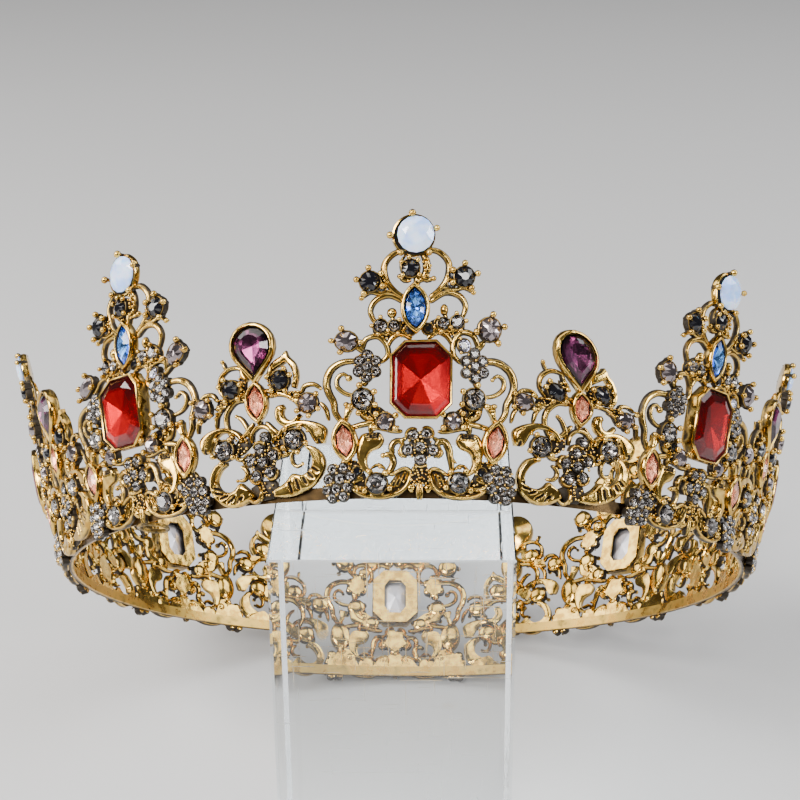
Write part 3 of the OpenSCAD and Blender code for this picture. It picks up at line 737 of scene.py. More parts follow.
def swag(m, s):
    """One side's swag at the foot: a hollow ribbed leaf by the knot, drawn out into a stem."""
    core = [(2.0, 5.2), (3.2, 5.3), (4.8, 4.5), (6.2, 2.6), (7.6, 0.9), (5.4, 0.3), (3.4, 1.5), (2.2, 3.2)]
    m.plate(flip(core, s), top=1.4, tone=0.35)
    m.bar(flip([(2.0, 3.6), (1.9, 5.0), (2.9, 5.7), (4.3, 5.2), (5.6, 4.4), (6.6, 4.6)], s), 1.1, top=2.2)
    m.bar(flip([(2.0, 4.4), (2.4, 2.6), (3.9, 0.9), (6.4, -0.1), (9.2, -0.3), (11.8, 0.2), (14.0, 1.5)], s), 1.3,
          top=2.2)
    for rib in (((2.4, 4.9), (3.2, 2.6)), ((3.2, 4.9), (4.3, 1.9)), ((4.1, 4.5), (5.3, 1.4)),
                ((5.2, 3.6), (6.3, 1.0))):
        m.bar(flip(rib, s), 0.62, top=2.0)
    m.gravel(flip(core, s), 12, 7 + s, size=(0.2, 0.3), out=1.4)
    m.bar(flip([(10.6, 1.5), (12.4, 1.4), (14.4, 2.4)], s), 1.3)
    m.bar(flip([(7.0, 5.4), (8.4, 6.4), (10.0, 5.6)], s), 0.9)


def flower_arms(m):
    """The right arm of the flower with its thorn, and the left one with its curl."""
    m.bar([(3.2, 10.4), (4.0, 11.3), (5.1, 11.2), (5.9, 9.8), (6.2, 8.0), (6.5, 6.2), (6.6, 4.4)], 1.9,
          ends=(1.0, 0.6))
    m.bar([(6.1, 8.0), (6.7, 7.4), (7.6, 6.9)], 1.4, ends=(1, 0.3))
    m.bar([(-3.2, 10.4), (-4.2, 11.4), (-5.4, 11.0), (-5.9, 9.8), (-5.4, 8.6)], 1.6, ends=(0.8, 0.9))
    m.curl([(-7.2, 4.0), (-6.0, 5.4), (-5.4, 7.1), (-6.1, 8.5), (-7.5, 8.3)], 1.9, ball=0.62, ends=(0.8, 0.8))


def knot(m):
    """The beaded knot and drop at the foot."""
    outline = [(-1.7, 2.4), (1.7, 2.4), (2.1, 5.2), (1.2, 6.4), (-1.2, 6.4), (-2.1, 5.2)]
    m.plate(outline, top=1.6)
    m.gravel(outline, 34, 3, size=(0.24, 0.42), out=1.9)
    for s in (1, -1):
        m.leaf(flip([(1.0, 2.6), (0.9, 1.6), (1.4, 0.7)], s), flip([(2.3, 2.8), (2.6, 1.6), (2.0, 0.7)], s),
               top=2.1, columns=7)
        m.bar(flip([(0.25, 2.8), (0.35, 1.0), (0.3, -0.75)], s), 0.95, ends=(1.0, 0.9), top=2.0)


# ---------- the low casting ----------

# The same tables for the low peak
LOW_CUPS = {
    "black": [(5.4, 25.0, 1.95, (160, 60, 300, 20, 230)), (-5.6, 24.0, 1.95, (20, 120, 240, 160, 310))],
    "hematite": [(11.0, 19.7, 2.0, (140, 40, 330, 215, 275)), (-12.9, 20.6, 2.0, (40, 140, 210, 325, 265))],
    "grey": [(7.6, 12.4, 2.1, (130, 60, 340, 215, 285)), (-8.2, 11.4, 2.1, (50, 120, 200, 325, 255))],
}
LOW_CLUSTER = [(-0.1, 11.0, 1.15), (2.75, 9.5, 1.15), (-2.35, 8.7, 1.2), (-1.3, 5.4, 1.2), (1.9, 6.0, 1.2),
               (0.35, 8.3, 1.15), (1.2, 13.4, 1.1)]
LOW_GROUNDS = [
    (13, [(2.2, 26.2), (4.0, 27.0), (4.2, 24.6), (5.4, 22.2), (3.6, 21.8), (2.6, 23.6)]),
    (13, [(6.6, 22.6), (9.4, 22.4), (10.2, 20.6), (8.6, 19.6), (6.8, 20.8)]),
    (13, [(2.6, 13.6), (5.2, 13.6), (6.4, 12.2), (5.6, 9.8), (4.0, 10.4), (2.2, 12.0)]),
]
LOW_BEADS = [(3.6, 25.4), (3.3, 23.9), (4.2, 21.8), (7.3, 22.2), (9.1, 22.2), (9.9, 18.4), (13.9, 22.4),
             (10.4, 13.9), (6.2, 14.1), (10.7, 10.2), (5.6, 9.8), (9.6, 19.4)]


def low_casting(wall, sizes):
    """The low peak: pear and pink oval over a flower, between a curl and leaves."""
    m = Casting(wall, sizes)
    m.bezel(wall.seat(*PEAR_SEAT), pear_outline(4.0, 6.25, 16), 3.3, 1.15, lip=0.25, inner=0.16)
    m.bezel(wall.seat(*LOW_OVAL), pointed_oval(1.7, 3.4, 9), 3.1, 0.9, inner=0.12)
    cups = [c for rows in LOW_CUPS.values() for c in rows]
    for u, v, r, claws in cups:
        m.cup(u, v, r, claws, m.ball * 0.9, top=2.5)
    m.grounds(LOW_GROUNDS, 70, [c[:3] for c in cups])
    # Curls over the black stones: a fine ring on the left, a leaf with a hook on the right
    m.bar([(-3.0, 28.0), (-4.4, 28.6), (-6.4, 28.4), (-8.3, 26.8), (-8.7, 24.4), (-7.6, 22.4)], 1.1 * m.scroll)
    m.curl([(-6.8, 28.2), (-7.2, 29.3), (-7.5, 30.2)], 1.0, ball=0.5)
    m.leaf([(3.2, 28.6), (4.8, 29.6), (6.2, 30.3), (7.0, 31.2), (7.5, 29.9), (8.9, 28.2), (9.4, 25.6),
            (8.6, 22.9)],
           [(3.6, 27.0), (5.2, 27.8), (6.4, 28.4), (7.0, 28.6), (7.3, 28.2), (7.9, 27.2), (8.2, 25.4),
            (7.5, 23.4)],
           top=2.3)
    for s in (1, -1):
        low_side(m, s)
        for u, v in LOW_BEADS:
            m.bead(s * u, v, FACE + 0.1, m.grain)
    low_scrolls(m)
    m.cluster(LOW_CLUSTER, 80)
    for u, v, _ in LOW_CLUSTER[:5]:
        # Crescent rims round the petals
        away = math.atan2(v - 8.1, u - 0.35)
        m.crescent(u, v, 1.52, away + np.linspace(-1.25, 1.25, 5), 0.95, 0.85)
    low_foot(m)
    return m


def low_side(m, s):
    """Scrolls and a broad leaf on one side."""
    m.bar(flip([(2.0, 25.6), (3.0, 26.8), (3.4, 28.4)], s), 1.2 * m.scroll)
    m.bar(flip([(1.6, 23.4), (3.4, 22.6), (5.2, 22.3), (6.8, 21.6)], s), 1.1 * m.scroll)
    m.bar(flip([(7.4, 20.8), (9.2, 20.4), (10.2, 20.4)], s), 1.2 * m.scroll)
    m.bar(flip([(9.6, 21.9), (10.4, 23.3), (12.3, 23.5), (13.9, 22.4)], s), 1.1 * m.scroll)
    m.bar(flip([(13.4, 19.6), (14.5, 18.0), (14.9, 15.6)], s), 1.0 * m.scroll)
    # Broad leaf arched over the grey stone, with a split end
    m.leaf(flip([(3.6, 12.8), (4.9, 15.0), (8.2, 16.3), (11.8, 15.8), (14.4, 14.0), (13.8, 11.0)], s),
           flip([(4.2, 12.7), (6.0, 14.5), (8.8, 15.0), (10.4, 13.8), (11.2, 12.2), (11.9, 11.0)], s),
           top=2.4, columns=11, step=0.35, grooves=[(s * 12.8, 12.0, s * 12.9, 10.8)])
    m.bar(flip([(1.4, 16.6), (2.8, 15.0), (4.4, 13.6)], s), 1.1 * m.scroll)
    m.bar(flip([(6.4, 9.8), (4.9, 9.2), (3.6, 9.4)], s), 1.1 * m.scroll)


def low_scrolls(m):
    """The left C-scroll with its tongue, the right one with its hook, and the arch over the flower."""
    m.bar([(-2.4, 21.6), (-5.2, 21.4), (-7.4, 19.2), (-7.6, 16.4), (-6.4, 13.6)], 1.35 * m.scroll)
    m.curl([(-2.6, 13.6), (-2.8, 15.4), (-3.9, 17.4), (-5.1, 18.4)], 1.1 * m.scroll, ball=0.42)
    m.bar([(-8.4, 20.4), (-9.8, 18.6), (-10.2, 16.2)], 1.1 * m.scroll)
    m.bar([(2.4, 21.8), (4.2, 22.2), (6.4, 21.8), (8.3, 20.3), (9.2, 18.6)], 1.2 * m.scroll)
    m.leaf([(5.4, 20.0), (4.0, 19.6), (3.5, 17.8), (4.4, 15.8), (6.8, 15.1), (9.4, 17.0)],
           [(5.9, 19.0), (5.6, 18.6), (5.5, 17.6), (6.2, 16.7), (7.4, 16.6), (8.8, 17.8)], top=2.2)
    m.bar([(-1.9, 12.4), (-1.7, 14.4), (-0.2, 15.7), (1.7, 15.4), (2.9, 13.8), (2.8, 12.0)], 1.05 * m.scroll,
          top=2.3)
    m.bar([(0, 17.2), (0.1, 15.6)], 1.5)


def low_foot(m):
    """Leaves at the foot: a closed C on the left, a flame on the right."""
    m.leaf([(-8.6, 9.4), (-11.2, 8.2), (-12.6, 5.0), (-11.7, 1.6), (-9.0, -0.5), (-6.2, -0.8), (-3.6, 0.2),
            (-2.0, 1.4)],
           [(-8.3, 8.2), (-9.9, 7.0), (-10.9, 4.9), (-10.0, 3.1), (-8.0, 2.6), (-6.6, 3.2), (-5.4, 4.3),
            (-3.6, 2.9)],
           top=2.4, columns=15, step=0.3,
           grooves=[(-11.3, 3.7, -10.3, 3.4), (-11.1, 2.6, -9.5, 2.3), (-9.8, 1.5, -8.4, 1.9),
                    (-8.2, 0.5, -6.6, 1.5), (-6.2, 0.4, -4.8, 1.5)])
    m.bar([(-3.6, 0.9), (-2.1, 0.0), (-0.7, 0.9), (-0.5, 2.4), (-1.1, 3.4)], 1.1, top=2.5)
    m.curl([(-5.0, 7.8), (-4.0, 7.1), (-3.7, 6.0), (-4.4, 4.9), (-5.9, 4.8)], 1.05 * m.scroll, ball=0.42,
           ends=(1.0, 0.7))
    m.leaf([(9.6, 11.2), (11.8, 10.3), (13.4, 8.3), (13.4, 5.6), (11.4, 2.8), (8.2, 1.1), (5.2, 0.5), (2.0, 0.8)],
           [(9.6, 10.5), (10.6, 9.3), (10.8, 7.6), (10.2, 6.0), (8.4, 4.9), (6.4, 5.3), (4.6, 3.6), (2.1, 2.2)],
           top=2.5, columns=15, step=0.3,
           grooves=[(12.0, 5.4, 11.0, 6.2), (10.8, 4.2, 10.0, 5.2), (9.4, 3.0, 8.9, 4.2), (7.8, 2.0, 7.3, 3.9),
                    (6.2, 1.5, 5.8, 3.4)])
    m.curl([(9.1, 10.8), (7.5, 10.4), (6.5, 9.0), (6.7, 7.4), (7.6, 6.7), (8.8, 7.2)], 0.95 * m.scroll, ball=0.42)
    m.plate([(-1.4, 0.2), (1.8, 0.4), (3.4, 2.2), (2.6, 4.2), (-0.6, 4.4), (-3.2, 3.0)], top=1.5)
    m.gravel([(-1.4, 0.4), (1.6, 0.6), (3.0, 2.2), (2.2, 4.0), (-0.4, 4.0), (-1.8, 2.0)], 16, 5, out=1.8)


# ---------- meshes and materials ----------

class Shader:
    """A shader tree in the making: short ways to add nodes, fill their inputs and join them."""

    def __init__(self, tree):
        self.nodes, self.links = tree.nodes, tree.links

    @cached_property
    def where(self):
        """The shaded point's place in its own object, in metres."""
        return self.add("TexCoord").outputs["Object"]

    def fill(self, node, inputs):
        """Sets inputs by name or number, and links those whose value is another node's output."""
        for key, x in inputs.items():
            socket = node.inputs[key]
            if isinstance(x, bpy.types.NodeSocket):
                self.links.new(x, socket)
            else:
                socket.default_value = (*x, 1) if socket.type == "RGBA" else x

    def add(self, kind, inputs=(), **settings):
        node = self.nodes.new("ShaderNode" + kind)
        for key, x in settings.items():
            setattr(node, key, x)
        self.fill(node, dict(inputs))
        return node

    def noise(self, scale, detail=3.0, vector=None):
        """Soft noise with about this many spots to the metre."""
        place = self.where if vector is None else vector
        inputs = {"Scale": scale, "Detail": detail, "Roughness": 0.55, "Vector": place}
        return self.add("TexNoise", inputs).outputs["Fac"]

    def spread(self, value, low, high, to_low=0.0, to_high=1.0):
        """A value eased from one range into another."""
        inputs = {"Value": value, "From Min": low, "From Max": high, "To Min": to_low, "To Max": to_high}
        return self.add("MapRange", inputs, interpolation_type="SMOOTHSTEP").outputs["Result"]

    def blend(self, factor, a, b):
        """The first colour at factor 0, the second at 1."""
        return self.add("Mix", {"Factor": factor, 6: a, 7: b}, data_type="RGBA").outputs[2]

    def math(self, operation, a, b=0.0):
        return self.add("Math", {0: a, 1: b}, operation=operation).outputs[0]

    def bump(self, height, distance, strength):
        return self.add("Bump", {"Height": height, "Distance": distance, "Strength": strength}).outputs["Normal"]


class Finish(Shader):
    """A material round its Principled shader."""

    def __init__(self, name):
        self.material = bpy.data.materials.new(name)
        self.material.use_nodes = True
        super().__init__(self.material.node_tree)
        self.surface = self.nodes["Principled BSDF"]

    def tone(self):
        """The darkening that each point of a mesh carries: wax and painted shade on the castings, painted shade
        towards the rim of a stone.
        """
        return self.add("Attribute", attribute_name="tone").outputs["Fac"]

    def done(self, inputs):
        self.fill(self.surface, inputs)
        return self.material

    def let_light_through(self, tint):
        """Lamps shine through the glass on what lies behind it."""
        shadow = self.add("LightPath").outputs["Is Shadow Ray"]
        clear = self.add("BsdfTransparent", {"Color": tint})
        mix = self.add("MixShader", {0: shadow, 1: self.surface.outputs[0], 2: clear.outputs[0]})
        self.fill(self.nodes["Material Output"], {"Surface": mix.outputs[0]})


def shared_group(name, inputs, outputs, build):
    """A node group of number sockets, built once. build makes its outputs from its inputs."""
    if name in bpy.data.node_groups:
        return bpy.data.node_groups[name]
    tree = bpy.data.node_groups.new(name, "ShaderNodeTree")
    for label, value in inputs.items():
        tree.interface.new_socket(name=label, in_out="INPUT", socket_type="NodeSocketFloat").default_value = value
    for label in outputs:
        tree.interface.new_socket(name=label, in_out="OUTPUT", socket_type="NodeSocketFloat")
    given, result = tree.nodes.new("NodeGroupInput"), tree.nodes.new("NodeGroupOutput")
    g = Shader(tree)
    g.fill(result, dict(zip(outputs, build(g, given.outputs))))
    return tree


def wax_and_painted_shade(g, given):
    """Where the metal is dark with wax and with the painted shade that the tone carries, a slow cloud over the
    metal, and the height of pits and dents.
    """
    cloud, pits = g.noise(given["Scale"]), g.noise(4200, 2.0)
    dents = g.math("MULTIPLY", g.noise(380, 1.0), 9.0)
    uneven = g.math("MULTIPLY", g.math("SUBTRACT", cloud, 0.5), given["Amount"])
    speck = g.math("MULTIPLY", g.math("SUBTRACT", pits, 0.5), 0.10)
    total = g.math("ADD", g.math("ADD", given["Tone"], uneven), speck)
    return g.spread(total, 0.04, 0.40), g.spread(cloud, 0.35, 0.68), g.math("ADD", pits, dents)


def wax_and_shade_group():
    """Dark wax left in the recesses and rubbed off the high parts, with painted shade where the tone darkens
    flanks, cup walls, plates and undersides.
    """
    return shared_group("Antique wax and painted shade", {"Tone": 0.0, "Scale": 900.0, "Amount": 0.5},
                        ("Dark", "Cloud", "Height"), wax_and_painted_shade)


def streaks(g, given):
    """Thin lines of stretched noise, the same for the mask and the height."""
    total = None
    for turn, stretch in (((0.4, 0.2, 0.9), (40, 1.2, 1.2)), ((1.1, 0.5, 0.1), (1.2, 34, 1.2)),
                          ((0.2, 1.3, 0.6), (1.2, 1.2, 46))):
        along = g.add("Mapping", {"Vector": g.where, "Rotation": turn, "Scale": stretch}).outputs["Vector"]
        line = g.spread(g.noise(given["Scale"], 2.0, along), 0.66, 0.74)
        total = line if total is None else g.math("MAXIMUM", total, line)
    return total, total


def scratch_group():
    """Fine hairline scratches, as long streaks of noise in three directions."""
    return shared_group("Hairline scratches", {"Scale": 60.0}, ("Mask", "Height"), streaks)


def antique_gold(colours):
    m = Finish("Antique gold")
    wear = m.add("Group", {"Tone": m.tone(), "Scale": 450, "Amount": 0.75}, node_tree=wax_and_shade_group()).outputs
    gold = m.blend(wear["Cloud"], colours.gold_low, colours.gold)
    # Dark lays the patina on wax in the recesses and, as painted shade, on the flanks of bars, cup walls, plates
    # and the undersides of beads.
    return m.done({"Base Color": m.blend(wear["Dark"], gold, colours.patina),
                   "Metallic": m.spread(wear["Dark"], 0, 1, 1.0, 0.55),
                   "Roughness": m.spread(wear["Dark"], 0, 1, 0.14, 0.5),
                   "Normal": m.bump(wear["Height"], 0.00003, 0.4)})


def hoop_bronze(colours, wall):
    """Dark bronze on the hoop's outer face, blackened and darkened as painted shade from the castings in front of
    it, worn golden brown on its inner one.
    """
    m = Finish("Hoop bronze")
    wear = m.add("Group", {"Tone": 0.10, "Scale": 260, "Amount": 0.8}, node_tree=wax_and_shade_group()).outputs
    # How far a point of the upright crown lies out from its axis, less the wall's flare. The hoop's outer
    # face lies just over the wall's radius and its inner one under it.
    middle = m.add("VectorMath", {0: m.where, 1: wall.lying.translation * MM}, operation="SUBTRACT").outputs[0]
    upright = m.add("Mapping", {"Vector": middle, "Rotation": (wall.tilt, 0, 0)}).outputs[0]
    x, y, z = m.add("SeparateXYZ", {0: upright}).outputs
    reach = m.math("SQRT", m.math("ADD", m.math("MULTIPLY", x, x), m.math("MULTIPLY", y, y)))
    out = m.math("SUBTRACT", reach, m.math("MULTIPLY", z, wall.sin / wall.cos))
    inner = m.spread(out, (wall.radius + 0.05) * MM, (wall.radius - 0.35) * MM)
    worn = m.blend(wear["Cloud"], colours.gold_low, colours.gold)
    # Painted shade: the outer face is kept dark for the castings that shade it.
    dull = m.blend(wear["Cloud"], colours.bronze, [0.5 * c for c in colours.bronze])
    scratches = m.add("Group", node_tree=scratch_group()).outputs["Height"]
    return m.done({"Base Color": m.blend(wear["Dark"], m.blend(inner, dull, worn), colours.patina),
                   "Metallic": 1.0,
                   "Roughness": m.spread(wear["Cloud"], 0, 1, 0.26, 0.42),
                   "Normal": m.bump(scratches, 0.00002, 0.3)})


def tinted_glass(name, tint, rim_shade):
    """Clear coloured glass with painted shade and light: deeper in colour towards its rim, paler in the middle,
    and a little uneven.
    """
    m = Finish(name)
    cloud = m.math("MULTIPLY", m.math("SUBTRACT", m.noise(320, 1.0), 0.5), 0.25)
    rim = m.spread(m.math("ADD", m.tone(), cloud), 0.1, 0.95)
    m.let_light_through([0.5 + 0.5 * x for x in tint])
    return m.done({"Base Color": m.blend(rim, tint, rim_shade), "Transmission Weight": 1.0, "Roughness": 0.02,
                   "IOR": 1.56})


# Foils under the stones: main colour, colour in places, and roughness
FOILS = {
    "Silver foil": ((0.90, 0.89, 0.93), (0.66, 0.64, 0.74), 0.07),
    "Bright foil": ((0.96, 0.97, 1.0), (0.85, 0.9, 1.0), 0.10),
    "Soft foil": ((0.34, 0.25, 0.25), (0.29, 0.22, 0.22), 0.23),
    "Plum foil": ((0.62, 0.54, 0.60), (0.34, 0.30, 0.34), 0.12),
    "Satin foil": ((1.0, 0.97, 0.94), (0.8, 0.76, 0.72), 0.2),
    "Dusk foil": ((0.85, 0.83, 0.83), (0.5, 0.48, 0.48), 0.04),
}
FOIL_BACK = (0.92, 0.90, 0.97)


def foil(name):
    """Foil under a stone: a mirror seen through the glass, dull and pale seen from behind."""
    tint, shade, gloss = FOILS[name]
    m = Finish(name)
    cloud = m.spread(m.noise(240, 1.0), 0.3, 0.7)
    within = m.add("NewGeometry").outputs["Backfacing"]
    rough = m.add("Mix", {"Factor": within, 2: m.spread(cloud, 0, 1, 0.42, 0.55),
                          3: m.spread(cloud, 0, 1, gloss, gloss + 0.04)}).outputs[0]
    return m.done({"Base Color": m.blend(within, FOIL_BACK, m.blend(cloud, tint, shade)), "Metallic": 1.0,
                   "Roughness": rough})


def milky_glass():
    """Opal glass: bluish white, warmer and clearer in places."""
    m = Finish("Opal glass")
    cloud = m.spread(m.noise(260, 2.0), 0.35, 0.65)
    # The emission is a painted glow: the opal gives out light of its own, though it is no lamp.
    return m.done({"Base Color": m.blend(cloud, (0.30, 0.47, 1.0), (0.62, 0.73, 1.0)),
                   "Emission Color": m.blend(cloud, (0.42, 0.68, 1.0), (0.75, 0.86, 1.0)),
                   "Emission Strength": 0.56, "Roughness": 0.08, "Subsurface Weight": 0.6,
                   "Subsurface Scale": 0.0015, "Coat Weight": 1.0, "Coat Roughness": 0.03})


def black_glass():
    m = Finish("Black glass")
    cloud = m.noise(700, 1.0)
    return m.done({"Base Color": m.blend(cloud, (0.002, 0.002, 0.003), (0.008, 0.008, 0.012)),
                   "Roughness": m.spread(cloud, 0.3, 0.7, 0.03, 0.09), "IOR": 1.6})


def hematite():
    m = Finish("Hematite")
    cloud = m.spread(m.noise(420, 2.0), 0.35, 0.65)
    return m.done({"Base Color": m.blend(cloud, (0.20, 0.165, 0.17), (0.32, 0.27, 0.28)), "Metallic": 0.9,
                   "Roughness": m.spread(cloud, 0, 1, 0.05, 0.10), "Coat Weight": 0.4})


def clear_block():
    m = Finish("Clear block")
    scratches = m.add("Group", {"Scale": 45}, node_tree=scratch_group()).outputs
    m.let_light_through((0.86, 0.90, 0.93))
    return m.done({"Base Color": m.blend(m.noise(30, 1.0), (0.88, 0.92, 0.94), (0.92, 0.95, 0.96)),
                   "Roughness": m.spread(scratches["Mask"], 0, 1, 0.004, 0.30), "Transmission Weight": 1.0,
                   "IOR": 1.49, "Normal": m.bump(scratches["Height"], 0.00001, 0.2)})


def pale_floor(colour):
    m = Finish("Pale floor")
    low, high = [x * 0.985 for x in colour], [min(1, x * 1.015) for x in colour]
    return m.done({"Base Color": m.blend(m.noise(6, 2.0), low, high), "Roughness": 0.6})


def finish_of(name, maker, *values):
    """The material of that name, made once."""
    return bpy.data.materials.get(name) or maker(*values)


def foil_of(name):
    return finish_of(name, foil, name)


def make_piece(name, parts, points, materials, replaced=(), smooth=False):
    """One joined piece in the row frame: the parts' faces, tones and kinds on points in metres."""
    mesh = bpy.data.meshes.new(name)
    mesh.from_pydata(points.tolist(), [], parts.faces)
    tone = mesh.attributes.new("tone", "FLOAT", "POINT")
    tone.data.foreach_set("value", np.concatenate(parts.tones).astype(np.float32))
    mesh.polygons.foreach_set("material_index", np.array(parts.kinds, np.int32))
    for m in materials:
        mesh.materials.append(m)
    bm = bmesh.new()
    bm.from_mesh(mesh)
    bmesh.ops.recalc_face_normals(bm, faces=bm.faces)
    bm.to_mesh(mesh)
    bm.free()
    if smooth:
        mesh.polygons.foreach_set("use_smooth", [True] * len(mesh.polygons))
        mesh.set_sharp_from_angle(angle=SMOOTH_UP_TO)
    mesh.update()
    ob = bpy.data.objects.new(name, mesh)
    bpy.context.scene.collection.objects.link(ob)
    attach(ob, "root")
    if replaced:
        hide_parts(*replaced)


def join_fields(name, fields, mats, nodes):
    """One piece from the stones of all peaks, given as the stones of one peak and the turns of its kind."""
    whole = Pieces(fields[0][0].wall)
    for parts, turns in fields:
        local = np.vstack(parts.points)
        for t in turns:
            m = np.array(Matrix.Rotation(math.radians(t), 3, "Z"))
            whole.add(whole.wall.bent(local, t) @ m.T, parts.faces, np.concatenate(parts.tones), parts.kinds)
    make_piece(name, whole, whole.laid(), mats, nodes)


def dress(node, mat):
    """A CAD node keeps its shape and gets a finish."""
    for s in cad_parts[node].material_slots:
        s.material = mat


# ---------- operators ----------

def cast_peaks(context, name, node, casting, turns, first=1):
    """The same casting at each turn, in place of a plain peak."""
    gold = finish_of("Antique gold", antique_gold, context.scene.crown_colours)
    for i, turn in enumerate(turns, first):
        make_piece(f"{name}_{i}", casting, casting.laid(turn), [gold], [f"{node}_{i}"], smooth=True)


class CROWN_OT_tall_peaks(bpy.types.Operator):
    """Builds the eight tall cast peaks in place of the plain ones"""
    bl_idname = "crown.tall_peaks"
    bl_label = "Tall peaks"

    def execute(self, context):
        sizes = context.scene.crown_sizes
        casting = tall_casting(Wall(sizes), sizes)
        cast_peaks(context, "tall_peak", "large_peak", casting, TALL_TURNS[:-1])
        # A small wire ring against the hoop's lower edge, seen at the left peak only
        casting.wire_ring(-2.8, -0.6, -3.2, 3.2, 0.5)
        cast_peaks(context, "tall_peak", "large_peak", casting, TALL_TURNS[-1:], first=PEAKS)
        return {"FINISHED"}


class CROWN_OT_low_peaks(bpy.types.Operator):
    """Builds the eight low cast peaks in place of the plain ones"""
    bl_idname = "crown.low_peaks"
    bl_label = "Low peaks"

    def execute(self, context):
        sizes = context.scene.crown_sizes
        cast_peaks(context, "low_peak", "small_peak", low_casting(Wall(sizes), sizes), LOW_TURNS)
        return {"FINISHED"}


class CROWN_OT_main_stones(bpy.types.Operator):
    """Cuts the opals, blue ovals, red step cut stones and purple pears"""
    bl_idname = "crown.main_stones"
    bl_label = "Main stones"

    def execute(self, context):
        wall, c = Wall(context.scene.crown_sizes), context.scene.crown_colours
        opal, blue, red, pear = (Stones(wall) for _ in range(4))
        opal.brilliant(*OPAL_SEAT, 3.85, girdle=2.85, crown=0.26, depth=0.38)
        blue.simple_cut(wall.seat(*BLUE_SEAT), pointed_oval(2.1, 4.1, 6), 0.5, 0.75, 1.6, 2.75)
        red.simple_cut(wall.seat(*RED_SEAT), cut_corners(11.7, 15.1, 2.75), 0.68, 1.2, 2.3, 3.5, step=(0.86, 4.15),
                       under=(0.66, 1.0))
        pear.simple_cut(wall.seat(*PEAR_SEAT), pear_outline(3.95, 6.15, 10), 0.62, 0.95, 1.5, 2.9,
                        under=(0.6, 1.15))
        # Each glass has a middle colour and a deeper rim colour; the deeper rim is painted shade.
        kinds = (
            ("opal", opal, "opal_glass", "opal_stone", TALL_TURNS, [milky_glass()] * 2),
            ("blue_oval", blue, "blue_glass", "blue_stone", TALL_TURNS,
             [tinted_glass("Blue glass", c.blue_heart, c.blue), foil_of("Bright foil")]),
            ("red_octagon", red, "red_glass", "red_stone", TALL_TURNS,
             [tinted_glass("Red glass", c.red, (0.72, 0.003, 0.010)), foil_of("Soft foil")]),
            ("purple_pear", pear, "purple_glass", "purple_stone", LOW_TURNS,
             [tinted_glass("Purple glass", c.purple, (0.05, 0.004, 0.02)), foil_of("Plum foil")]),
        )
        for name, stone, slot, node, turns, looks in kinds:
            for i, turn in enumerate(turns, 1):
                make_piece(f"{name}_{i}", stone, stone.laid(turn), looks, [f"{node}_{i}"])
        return {"FINISHED"}


def round_stones(wall, kind, cups, small):
    """The round stones of one kind for one peak: those of its claw cups and of its flower clusters."""
    stones = Stones(wall)
    table, crown = (0.56, 0.34) if kind == "grey" else (0.40, 0.50)
    for n, (u, v, r, _) in enumerate(cups):
        stones.brilliant(u, v, r, girdle=2.55 if r > 1.5 else 2.35, turn=0.35 * n, table=table, crown=crown)
    for n, (u, v, r) in enumerate(small):
        stones.brilliant(u, v, r, girdle=2.3, turn=0.5 * n, crown=0.42, table=0.45)
    return stones


class CROWN_OT_small_stones(bpy.types.Operator):
    """Cuts the fields of small stones and the flower clusters"""
    bl_idname = "crown.small_stones"
    bl_label = "Small stones"

    def execute(self, context):
        wall, c = Wall(context.scene.crown_sizes), context.scene.crown_colours
        # Each glass's deeper rim colour is painted shade, its paler middle painted light.
        smoke = tinted_glass("Smoky glass", c.smoke, (0.045, 0.04, 0.038))
        pale = tinted_glass("Pale glass", (0.80, 0.82, 0.92), (0.66, 0.68, 0.82))
        pink = tinted_glass("Pink glass", (1.0, 0.44, 0.27), c.pink)
        tall_small = [(s * u, v, r) for s, group in sides(TALL_CLUSTERS) for u, v, r in group] + MIDDLE_CLUSTER
        # Kinds of round stones: looks, and the small ones in the flower clusters of a tall and a low peak
        kinds = (("black", [black_glass()] * 2, (), ()), ("hematite", [hematite()] * 2, (), ()),
                 ("grey", [smoke, foil_of("Dusk foil")], tall_small, LOW_CLUSTER))
        for kind, looks, tall_clusters, low_clusters in kinds:
            tall = round_stones(wall, kind, TALL_CUPS[kind], tall_clusters)
            low = round_stones(wall, kind, LOW_CUPS[kind], low_clusters)
            if kind == "black":
                tall.brilliant(*UPPER_BLACK, turn=0.2, table=0.42, crown=0.48)
                for u, v, r in DARK_SPECKS:
                    outline = round_outline(r, 8, np.pi / 8 + u)
                    tall.simple_cut(wall.seat(u, v), outline, 0.58, 0.34 * r, 0.62 * r, 2.0)
            join_fields(f"{kind}_chatons", ((tall, TALL_TURNS), (low, LOW_TURNS)), looks,
                        [f"{kind}_stones"])
        tall, low = Stones(wall), Stones(wall)
        u, v, roll = SIDE_OVAL
        for stones, seat in ((tall, (u, v, roll)), (tall, (-u, v, -roll)), (low, LOW_OVAL)):
            stones.simple_cut(wall.seat(*seat), pointed_oval(1.68, 3.3, 3), 0.5, 0.6, 1.4, 2.7)
        join_fields("pink_ovals", ((tall, TALL_TURNS), (low, LOW_TURNS)), [pink, foil_of("Satin foil")],
                    ["pink_stones"])
        silver = Stones(wall)
        silver.brilliant(*SIDE_SILVER, girdle=2.3)
        join_fields("silver_chatons", ((silver, TALL_TURNS),), [pale, foil_of("Silver foil")], [])
        return {"FINISHED"}


